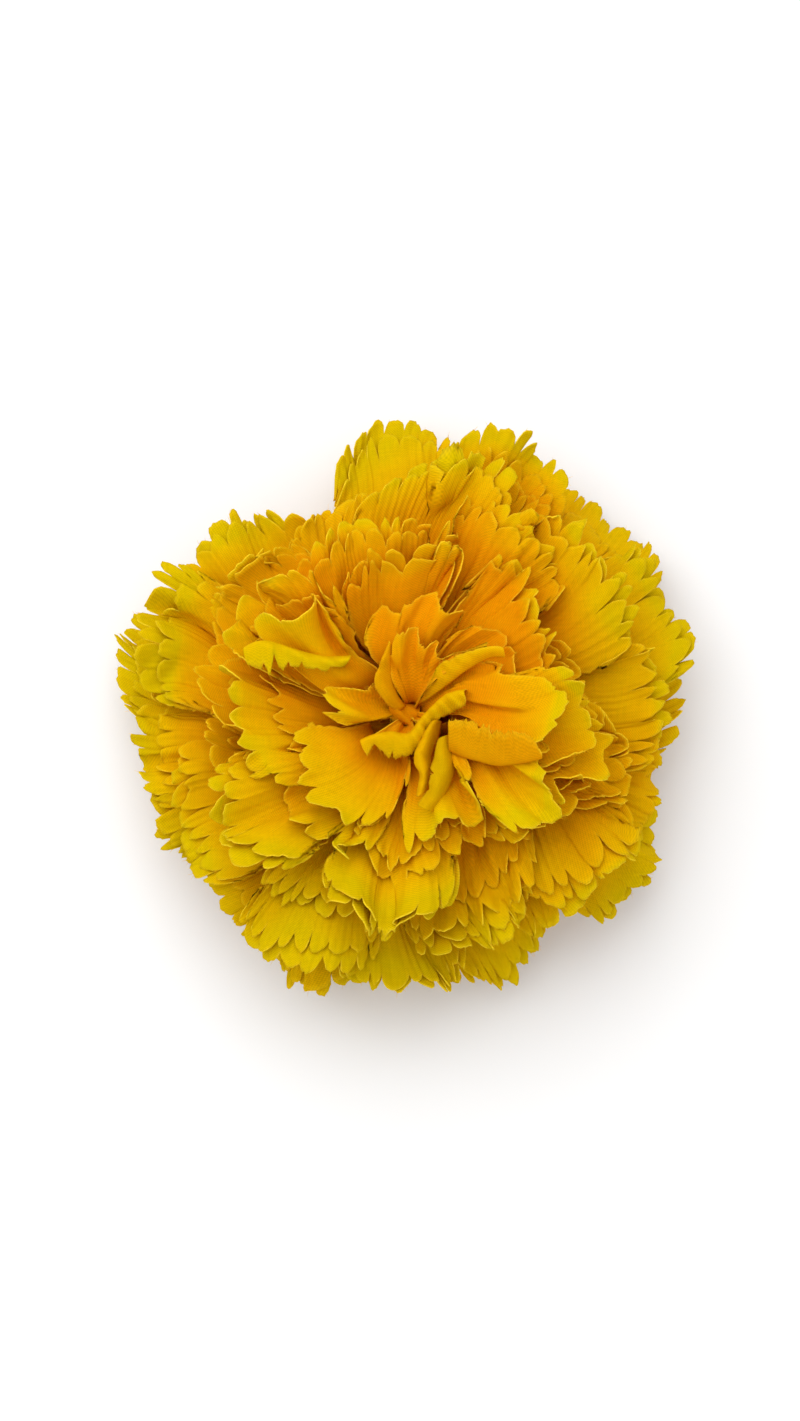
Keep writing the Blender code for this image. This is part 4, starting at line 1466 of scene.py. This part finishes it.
def weave_group() -> Tree:
    """Plain weave on the flat cloth: threads over and under each other, thick and thin ones.

    The height is sin(2 pi x / pitch) sin(2 pi y / pitch), high where a thread lies on top, and varies
    from thread to thread, by noise stretched along each direction. The shade is the same sum with its
    own share of the sine: painted shade, darker where a thread dips under, plus the threads' own tone.

    Returns:
        The group's tree.
    """
    pitch = 0.36
    slub_share = 0.5
    along, across = 0.35, 3.0
    height_share, shade_share = 0.5, 0.35
    tree, start, end = new_group(
        "weave",
        (
            ("Flat", "NodeSocketVector", None),
            ("Pitch", "NodeSocketFloat", pitch),
            ("Slub", "NodeSocketFloat", slub_share),
        ),
        (("Height", "NodeSocketFloat"), ("Shade", "NodeSocketFloat")),
    )
    split = tree.nodes.new("ShaderNodeSeparateXYZ")
    tree.links.new(start.outputs["Flat"], split.inputs[0])
    waves = []
    slubs = []
    for axis, scale in enumerate(((across, along, 1.0), (along, across, 1.0))):
        angle = maths(tree, "MULTIPLY", split.outputs[axis], FULL_TURN)
        waves.append(maths(tree, "SINE", maths(tree, "DIVIDE", angle, start.outputs["Pitch"])))
        stretch = tree.nodes.new("ShaderNodeMapping")
        stretch.inputs["Scale"].default_value = scale
        tree.links.new(start.outputs["Flat"], stretch.inputs["Vector"])
        slubs.append(noise(tree, stretch.outputs[0], 1.0, 2.0))
    cross = maths(tree, "MULTIPLY", waves[0], waves[1])
    slub = maths(tree, "SUBTRACT", maths(tree, "ADD", slubs[0], slubs[1]), 1.0)
    slub = maths(tree, "MULTIPLY", slub, start.outputs["Slub"])
    for share, name in ((height_share, "Height"), (shade_share, "Shade")):
        total = maths(tree, "ADD", maths(tree, "MULTIPLY", cross, share), slub)
        tree.links.new(total, end.inputs[name])
    return tree


def grain_group() -> Tree:
    """The skin of moulded plastic: fine noise for its height, and slow noise for its colour.

    Returns:
        The group's tree.
    """
    fineness = 900.0
    cloud_scale = 180.0
    tree, start, end = new_group(
        "moulded grain",
        (("Place", "NodeSocketVector", None), ("Fineness", "NodeSocketFloat", fineness)),
        (("Height", "NodeSocketFloat"), ("Cloud", "NodeSocketFloat")),
    )
    fine = tree.nodes.new("ShaderNodeTexNoise")
    tree.links.new(start.outputs["Place"], fine.inputs["Vector"])
    tree.links.new(start.outputs["Fineness"], fine.inputs["Scale"])
    tree.links.new(fine.outputs[0], end.inputs["Height"])
    tree.links.new(noise(tree, start.outputs["Place"], cloud_scale, 2.0), end.inputs["Cloud"])
    return tree


@dataclass(frozen=True)
class ClothFinish:
    """Dyed woven polyester: deep at the roots, bright, then duller to the tips, pale where cut."""

    name: str
    root: Colour
    middle: Colour
    bright: Colour
    tip: Colour
    cut: Colour
    edge_share: float
    through: float
    middle_at: float = 0.45
    bright_at: float = 0.75
    roughness: float = 0.8
    specular: float = 0.03
    bump: float = 0.6
    weave_depth: float = 0.00006
    shade_share: float = 0.36
    blotch_scale: float = 0.16
    blotch_depth: float = 0.34

    def material(self, weave: Tree) -> bpy.types.Material:
        """Make the material.

        Args:
            weave: the weave group.

        Returns:
            A Principled surface mixed with a Translucent one, both in the dyed colour with its painted shade.
        """
        material = bpy.data.materials.new(self.name)
        material.use_nodes = True
        tree = material.node_tree
        tree.nodes.clear()
        end = tree.nodes.new("ShaderNodeOutputMaterial")
        cloth = tree.nodes.new("ShaderNodeBsdfPrincipled")
        cloth.inputs["Roughness"].default_value = self.roughness
        cloth.inputs["Specular IOR Level"].default_value = self.specular
        glow = tree.nodes.new("ShaderNodeBsdfTranslucent")
        both = tree.nodes.new("ShaderNodeMixShader")
        both.inputs[0].default_value = self.through
        tone = self.attribute(tree, "tone").outputs["Fac"]
        edge = self.attribute(tree, "edge").outputs["Fac"]
        flat = self.attribute(tree, "flat").outputs["Vector"]
        threads = tree.nodes.new("ShaderNodeGroup")
        threads.node_tree = weave
        tree.links.new(flat, threads.inputs["Flat"])
        blotch = maths(tree, "SUBTRACT", noise(tree, flat, self.blotch_scale), 0.5)
        blotch = maths(tree, "MULTIPLY", blotch, self.blotch_depth)
        ramp = tree.nodes.new("ShaderNodeValToRGB")
        stops = ramp.color_ramp.elements
        stops[0].color = (*self.root, 1.0)
        stops[1].color = (*self.tip, 1.0)
        stops.new(self.middle_at).color = (*self.middle, 1.0)
        stops.new(self.bright_at).color = (*self.bright, 1.0)
        tree.links.new(maths(tree, "ADD", tone, blotch, clamp=True), ramp.inputs[0])
        paler = maths(tree, "MULTIPLY", edge, self.edge_share)
        # The ramp's colour holds the dye and the painted shade that the tone carries.
        dyed_and_shaded = mix_colours(tree, paler, ramp.outputs[0], (*self.cut, 1.0))
        # Painted shade of the weave: darker where threads dip under, with the threads' own thick and thin
        # tone.
        light = maths(tree, "ADD", maths(tree, "MULTIPLY", threads.outputs["Shade"], self.shade_share), 1.0)
        grey = tree.nodes.new("ShaderNodeCombineColor")
        for socket in grey.inputs[:3]:
            tree.links.new(light, socket)
        colour = mix_colours(tree, 1.0, dyed_and_shaded, grey.outputs[0], "MULTIPLY")
        normal = relief(tree, threads.outputs["Height"], self.bump, self.weave_depth)
        tree.links.new(normal, cloth.inputs["Normal"])
        tree.links.new(colour, cloth.inputs["Base Color"])
        tree.links.new(colour, glow.inputs["Color"])
        tree.links.new(cloth.outputs[0], both.inputs[1])
        tree.links.new(glow.outputs[0], both.inputs[2])
        tree.links.new(both.outputs[0], end.inputs["Surface"])
        return material

    @staticmethod
    def attribute(tree: Tree, name: str) -> bpy.types.Node:
        """A node that reads one of the mesh's attributes.

        Args:
            tree: the tree that it joins.
            name: the attribute's name.

        Returns:
            The node.
        """
        node = tree.nodes.new("ShaderNodeAttribute")
        node.attribute_name = name
        return node


@dataclass(frozen=True)
class MouldedFinish:
    """Moulded plastic with a fine skin and slightly uneven colour."""

    name: str
    dark: Colour
    light: Colour
    roughness: float
    bump: float = 0.35
    grain_depth: float = 0.0001

    def material(self, grain: Tree) -> bpy.types.Material:
        """Make the material.

        Args:
            grain: the moulded grain group.

        Returns:
            A Principled surface.
        """
        material = bpy.data.materials.new(self.name)
        material.use_nodes = True
        tree = material.node_tree
        surface = tree.nodes["Principled BSDF"]
        surface.inputs["Roughness"].default_value = self.roughness
        place = tree.nodes.new("ShaderNodeTexCoord")
        skin = tree.nodes.new("ShaderNodeGroup")
        skin.node_tree = grain
        tree.links.new(place.outputs["Object"], skin.inputs["Place"])
        colour = mix_colours(tree, skin.outputs["Cloud"], (*self.dark, 1.0), (*self.light, 1.0))
        normal = relief(tree, skin.outputs["Height"], self.bump, self.grain_depth)
        tree.links.new(normal, surface.inputs["Normal"])
        tree.links.new(colour, surface.inputs["Base Color"])
        return material


# The lips, curled parts of the inner petals, each by points of its three lines.
HOOK = Lip(
    disc=7,
    root=(
        (8.6, 2.2, 36.8), (5.9, 1.4, 35.8), (3.4, -0.4, 34.2), (1.6, -2.0, 33.2),
        (0.6, -3.1, 32.5), (-0.2, -3.9, 32.3), (-1.3, -4.0, 32.6), (-2.8, -3.9, 33.2),
        (-4.4, -4.1, 34.0), (-5.9, -4.5, 34.6), (-7.0, -5.1, 35.0),
    ),
    fold=(
        (8.1, 1.6, 38.4), (5.5, 1.0, 37.9), (3.4, -0.6, 37.0), (1.7, -2.3, 36.2),
        (0.8, -3.7, 35.8), (-0.1, -4.6, 35.5), (-1.3, -4.7, 35.4), (-2.8, -4.5, 35.7),
        (-4.5, -4.7, 36.2), (-6.0, -5.0, 36.4), (-7.4, -5.8, 36.2),
    ),
    rim=(
        (8.5, -0.1, 37.8), (7.1, -0.9, 37.0), (5.0, -1.8, 35.8), (3.0, -3.4, 35.0),
        (2.0, -5.1, 34.6), (0.5, -6.9, 34.2), (-1.2, -7.6, 33.9), (-3.1, -7.7, 34.2),
        (-4.2, -6.8, 35.0), (-5.4, -6.0, 35.7), (-6.4, -7.6, 35.2),
    ),
    teeth=9, slit=0.08, tone=0.6, outside=Face.UPPER,
)

# The flap shows its under face; its low tone and olive colours are painted shade.
FLAP = Lip(
    disc=7,
    root=(
        (6.3, -2.6, 35.2), (8.1, -3.3, 36.3), (10.3, -4.7, 37.4), (12.5, -6.4, 38.4),
        (14.7, -7.8, 39.2), (16.9, -8.4, 39.6), (18.9, -8.5, 39.8),
    ),
    fold=(
        (5.9, -7.1, 36.8), (7.8, -8.1, 37.6), (10.2, -8.9, 38.5), (13.2, -9.7, 39.4),
        (15.6, -9.4, 40.1), (17.6, -9.1, 40.5), (19.6, -8.8, 40.6),
    ),
    rim=(
        (5.7, -3.2, 39.4), (8.6, -3.0, 40.1), (11.3, -4.2, 40.9), (13.4, -5.1, 41.4),
        (15.2, -5.0, 41.6), (17.8, -5.7, 41.7), (19.4, -8.0, 41.4),
    ),
    teeth=6, slit=0.1, tone=0.22, outside=Face.UNDER,
)

LEFT_STRIP = Lip(
    disc=7,
    root=(
        (4.7, -2.1, 33.5), (4.4, -4.0, 33.6), (3.8, -5.9, 33.8), (3.3, -7.5, 34.0),
        (3.3, -9.0, 34.2), (3.3, -10.6, 34.4), (2.7, -12.7, 34.6),
    ),
    fold=(
        (3.9, -2.3, 36.4), (2.8, -4.5, 36.6), (1.9, -6.8, 36.8), (1.7, -8.5, 36.8),
        (2.2, -10.2, 36.8), (2.0, -12.1, 36.6), (1.5, -13.7, 36.2),
    ),
    rim=(
        (3.1, -2.6, 35.2), (1.7, -5.0, 35.2), (0.8, -7.1, 35.2), (0.7, -8.8, 35.2),
        (1.5, -10.4, 35.2), (1.2, -12.0, 35.0), (1.0, -13.6, 34.6),
    ),
    teeth=4, slit=0.2, tone=0.5, outside=Face.UPPER,
)

RIGHT_STRIP = Lip(
    disc=7,
    root=(
        (6.1, -4.3, 34.6), (6.6, -6.5, 35.0), (6.8, -9.2, 35.4), (6.1, -11.7, 35.6),
        (4.9, -14.0, 35.6), (3.7, -16.1, 35.4),
    ),
    fold=(
        (5.1, -4.9, 37.4), (5.1, -7.2, 37.8), (5.0, -9.7, 38.0), (4.5, -11.9, 38.0),
        (3.6, -14.1, 37.8), (2.3, -16.1, 37.4),
    ),
    rim=(
        (4.1, -5.3, 36.4), (3.7, -7.9, 36.6), (3.1, -9.5, 36.8), (3.1, -11.0, 36.8),
        (2.5, -13.0, 36.6), (1.1, -15.2, 36.0),
    ),
    teeth=4, slit=0.12, tone=0.7, outside=Face.UNDER,
)

LEFT_BAND = Lip(
    disc=6,
    root=(
        (-8.9, 7.6, 35.6), (-10.6, 7.5, 35.8), (-12.8, 7.5, 36.2), (-15.1, 7.8, 36.6),
        (-17.1, 8.2, 36.9), (-19.0, 8.6, 37.2), (-21.0, 9.0, 37.6), (-23.1, 8.9, 38.0),
        (-24.7, 8.2, 38.2),
    ),
    fold=(
        (-9.0, 6.8, 37.4), (-10.6, 6.5, 37.9), (-12.8, 6.4, 38.4), (-15.0, 6.9, 38.8),
        (-17.1, 7.4, 39.1), (-18.9, 8.0, 39.3), (-21.0, 8.4, 39.5), (-23.2, 8.4, 39.6),
        (-24.9, 7.6, 39.6),
    ),
    rim=(
        (-9.2, 6.4, 37.0), (-10.4, 5.6, 37.2), (-12.8, 5.0, 37.6), (-15.0, 5.2, 38.0),
        (-17.2, 5.4, 38.3), (-18.7, 5.1, 38.4), (-20.8, 4.2, 38.4), (-22.8, 5.2, 38.7),
        (-24.5, 5.6, 38.9),
    ),
    teeth=7, slit=0.3, tone=0.85, outside=Face.UPPER,
)

ARM = Lip(
    disc=7,
    root=(
        (0.8, 0.6, 32.4), (2.9, 1.4, 34.0), (5.5, 3.1, 35.5), (8.5, 5.2, 36.7),
        (11.8, 6.9, 37.7), (14.2, 6.9, 38.4),
    ),
    fold=(
        (2.6, 3.0, 35.2), (4.0, 4.0, 36.0), (6.2, 5.0, 37.0), (8.6, 6.5, 38.0),
        (11.9, 7.6, 38.8), (14.1, 7.5, 39.1),
    ),
    rim=(
        (4.0, 5.6, 36.6), (4.8, 6.3, 37.0), (6.6, 7.0, 37.6), (8.8, 7.8, 38.2),
        (12.0, 8.4, 38.9), (13.9, 8.2, 39.2),
    ),
    teeth=4, slit=0.1, tone=0.5, outside=Face.UPPER,
)

TUCK = Lip(
    disc=7,
    root=((-3.4, 1.7, 31.2), (-2.2, 1.6, 30.4), (-0.9, 1.4, 30.0), (0.5, 1.1, 30.0), (1.6, 0.8, 30.6)),
    fold=((-3.2, 0.4, 32.4), (-2.0, 0.2, 31.8), (-0.8, -0.1, 31.4), (0.4, -0.5, 31.3), (1.4, -0.9, 31.6)),
    rim=((-3.0, -1.2, 31.6), (-1.9, -1.6, 30.8), (-0.7, -2.0, 30.2), (0.4, -2.4, 30.2), (1.3, -2.6, 30.4)),
    teeth=2, slit=0.05, tone=0.05, outside=Face.UPPER,
)

SHOULDER = Lip(
    disc=7,
    root=((-0.7, 0.7, 31.0), (-2.0, 2.3, 33.5), (-2.7, 5.1, 35.5), (-2.6, 7.5, 37.0), (-2.9, 9.0, 38.0)),
    fold=((-1.1, 0.3, 32.0), (-3.1, 1.7, 35.0), (-4.2, 4.1, 37.0), (-3.7, 6.6, 38.2), (-3.0, 9.0, 38.8)),
    rim=((-1.8, -0.2, 31.5), (-4.1, 1.0, 34.5), (-5.3, 3.4, 36.5), (-4.6, 5.6, 37.6), (-3.1, 9.2, 38.6)),
    teeth=3, slit=0.08, tone=0.3, outside=Face.UPPER,
)

LIPS = (HOOK, FLAP, LEFT_STRIP, RIGHT_STRIP, LEFT_BAND, ARM, TUCK, SHOULDER)

# The finishes: the dye from the root to the tip, and last the colour of a cut.
UPPER_CLOTH = ClothFinish(
    "yellow cloth, upper face",
    (0.88, 0.33, 0.0), (0.87, 0.45, 0.0), (0.86, 0.54, 0.0), (0.77, 0.56, 0.0), (0.98, 0.66, 0.015),
    edge_share=0.3, through=0.24,
)
# The under face is the same dyed cloth: its darker, more olive colours are painted shade.
SHADED_UNDER_CLOTH = ClothFinish(
    "yellow cloth, under face with painted shade",
    (0.80, 0.30, 0.0), (0.76, 0.38, 0.0), (0.72, 0.43, 0.0), (0.66, 0.44, 0.0), (0.96, 0.62, 0.01),
    edge_share=0.3, through=0.24,
)
CUT_CLOTH = ClothFinish(
    "yellow cloth, cut edge",
    (1.0, 0.50, 0.01), (1.0, 0.60, 0.01), (1.0, 0.68, 0.015), (0.96, 0.72, 0.02), (1.0, 0.74, 0.03),
    edge_share=0.3, through=0.2,
)
FIBRE_CLOTH = ClothFinish(
    "yellow thread",
    (1.0, 0.62, 0.02), (1.0, 0.65, 0.02), (1.0, 0.68, 0.02), (1.0, 0.74, 0.04), (1.0, 0.74, 0.05),
    edge_share=0.0, through=0.3,
)
GREEN_MOULDING = MouldedFinish("green moulding", (0.05, 0.14, 0.02), (0.12, 0.26, 0.05), 0.45)
AMBER_MOULDING = MouldedFinish("amber moulding", (0.45, 0.16, 0.005), (0.62, 0.26, 0.01), 0.4)


@dataclass
class Bloom:
    """The eight petal discs, laid one on another and made as fine cloth."""

    plan: HeadPlan = field(default_factory=HeadPlan)
    curves: LayerCurves = field(default_factory=LayerCurves)
    crumple: Crumple = field(default_factory=Crumple)
    hub: Hub = field(default_factory=Hub)
    fibres: FibreBundle = field(default_factory=FibreBundle)
    cloth_thickness: float = 0.2
    seed: int = 100

    def build(self, weave: Tree) -> list[bpy.types.Object]:
        """Lay and make every disc, then the loose fibres.

        Args:
            weave: the weave group for the cloth's materials.

        Returns:
            The pieces.
        """
        finishes = [finish.material(weave) for finish in (UPPER_CLOTH, SHADED_UNDER_CLOTH, CUT_CLOTH)]
        drape = Drape(self.curves, self.crumple, self.plan)
        cutter = PetalCutter(drape)
        maker = LipMaker()
        petals = self.plan.draw_petals(self.curves)
        draw = np.random.default_rng(self.seed)
        laid = [drape.lay(petal) for petal in petals]
        pieces = []
        for disc in range(len(self.plan.discs)):
            mesh = ClothMesh()
            height = self.curves.first_disc_z + self.curves.stack_height * self.plan.layer_of(disc)
            self.hub.lay(mesh, height)
            for number, petal in enumerate(petals):
                if petal.disc == disc:
                    rim = cutter.cut(petal, laid[number], mesh, self.seed + number)
                    self.fibres.fray(rim, draw)
            for number, lip in enumerate(LIPS):
                if lip.disc == disc:
                    self.fibres.fray(maker.lay(lip, mesh, self.seed - 1 - number), draw)
            piece = mesh.build(f"cloth_disc_{disc + 1}")
            self.finish(piece, finishes, f"petal_disc_{disc + 1}")
            pieces.append(piece)
        threads = self.fibres.build("edge_fibres")
        threads.data.materials.append(FIBRE_CLOTH.material(weave))
        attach(threads, "root")
        return pieces + [threads]

    def finish(self, piece: bpy.types.Object, finishes: list[bpy.types.Material], node: str) -> None:
        """Give a disc its thickness and finishes, and put it in its node's place.

        Args:
            piece: the disc's sheet.
            finishes: the cloth's materials, in the order of Face.
            node: the node that it replaces.
        """
        for material in finishes:
            piece.data.materials.append(material)
        wall = piece.modifiers.new("cloth thickness", "SOLIDIFY")
        wall.thickness = self.cloth_thickness * MM
        wall.offset = 0.0
        wall.material_offset = Face.UNDER.value
        wall.material_offset_rim = Face.CUT.value
        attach(piece, "root")
        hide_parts(node)


@dataclass
class Studio:
    """A pale floor, an even sky with one soft light from the far left, and the photo's camera.

    The places are in metres, but for the throat's height, and the pixels are the photo's.
    """

    floor_half: float = 1.5
    floor_colour: Colour = (0.93, 0.93, 0.93)
    floor_roughness: float = 0.9
    sky_strength: float = 0.86
    lamp_size: float = 0.6
    lamp_energy: float = 1.8
    lamp_place: Point = (-0.14, 0.20, 0.50)
    lamp_aim: Point = (0.0, 0.0, 0.02)
    elevation: float = 80.0
    pixels_per_mm: float = 6.6
    throat_z: float = 30.0
    throat_pixel: tuple[float, float] = (410.0, 712.0)
    photo_size: tuple[float, float] = (800.0, 1421.0)
    distance: float = 0.60
    sensor: float = 36.0

    def build(self) -> None:
        """Make the floor, the lights, the world and the camera."""
        self.floor()
        self.lights()
        self.camera()

    def floor(self) -> None:
        """A wide square at the height of the foot, z = 0."""
        mesh = bpy.data.meshes.new("floor")
        half = self.floor_half
        corners = [(-half, -half, 0.0), (half, -half, 0.0), (half, half, 0.0), (-half, half, 0.0)]
        mesh.from_pydata(corners, [], [(0, 1, 2, 3)])
        material = bpy.data.materials.new("pale floor")
        material.use_nodes = True
        surface = material.node_tree.nodes["Principled BSDF"]
        surface.inputs["Base Color"].default_value = (*self.floor_colour, 1.0)
        surface.inputs["Roughness"].default_value = self.floor_roughness
        mesh.materials.append(material)
        floor = link_object("floor", mesh)

    def lights(self) -> None:
        """A soft key from the far left, and an even white sky."""
        scene = bpy.context.scene
        world = bpy.data.worlds.new("sky")
        world.use_nodes = True
        sky = world.node_tree.nodes["Background"]
        sky.inputs["Color"].default_value = (1.0, 1.0, 1.0, 1.0)
        sky.inputs["Strength"].default_value = self.sky_strength
        scene.world = world
        lamp = bpy.data.lights.new("key", "AREA")
        lamp.size = self.lamp_size
        lamp.energy = self.lamp_energy
        key = link_object("key", lamp)
        key.location = self.lamp_place
        aim = Vector(self.lamp_aim) - key.location
        key.rotation_euler = aim.to_track_quat("-Z", "Y").to_euler()
        scene.view_settings.view_transform = "Standard"

    def camera(self) -> None:
        """The photo's camera, at its angle above the surface, from the near side.

        The lens gives the photo's pixels per millimetre at the throat, and the shift puts the
        throat at its pixel.
        """
        width, height = self.photo_size
        rise = math.radians(self.elevation)
        lens = bpy.data.cameras.new("photo camera")
        lens.sensor_fit = "VERTICAL"
        lens.sensor_height = self.sensor
        lens.lens = self.sensor * self.distance / (height / self.pixels_per_mm * MM)
        lens.shift_x = (0.5 * width - self.throat_pixel[0]) / height
        lens.shift_y = (self.throat_pixel[1] - 0.5 * height) / height
        camera = link_object("photo camera", lens)
        back = self.distance * Vector((0.0, -math.cos(rise), math.sin(rise)))
        camera.location = Vector((0.0, 0.0, self.throat_z * MM)) + back
        camera.rotation_euler = (math.pi / 2.0 - rise, 0.0, 0.0)
        bpy.context.scene.camera = camera


def dress_mouldings(grain: Tree) -> None:
    """Give the calyx and the cap, which keep their own solids, their finishes.

    Args:
        grain: the moulded grain group.
    """
    for node, finish in (("calyx", GREEN_MOULDING), ("centre_cap", AMBER_MOULDING)):
        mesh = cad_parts[node].data
        mesh.materials.clear()
        mesh.materials.append(finish.material(grain))
        LOG.info("%s: %s", node, finish.name)


def main() -> None:
    """Build the bloom, dress the mouldings and set up the studio."""
    logging.basicConfig(level=logging.INFO, format="%(message)s")
    dress_mouldings(grain_group())
    for piece in Bloom().build(weave_group()):
        LOG.info("%s: %d faces of cloth", piece.name, len(piece.data.polygons))
    Studio().build()


if __name__ == "__main__":
    main()
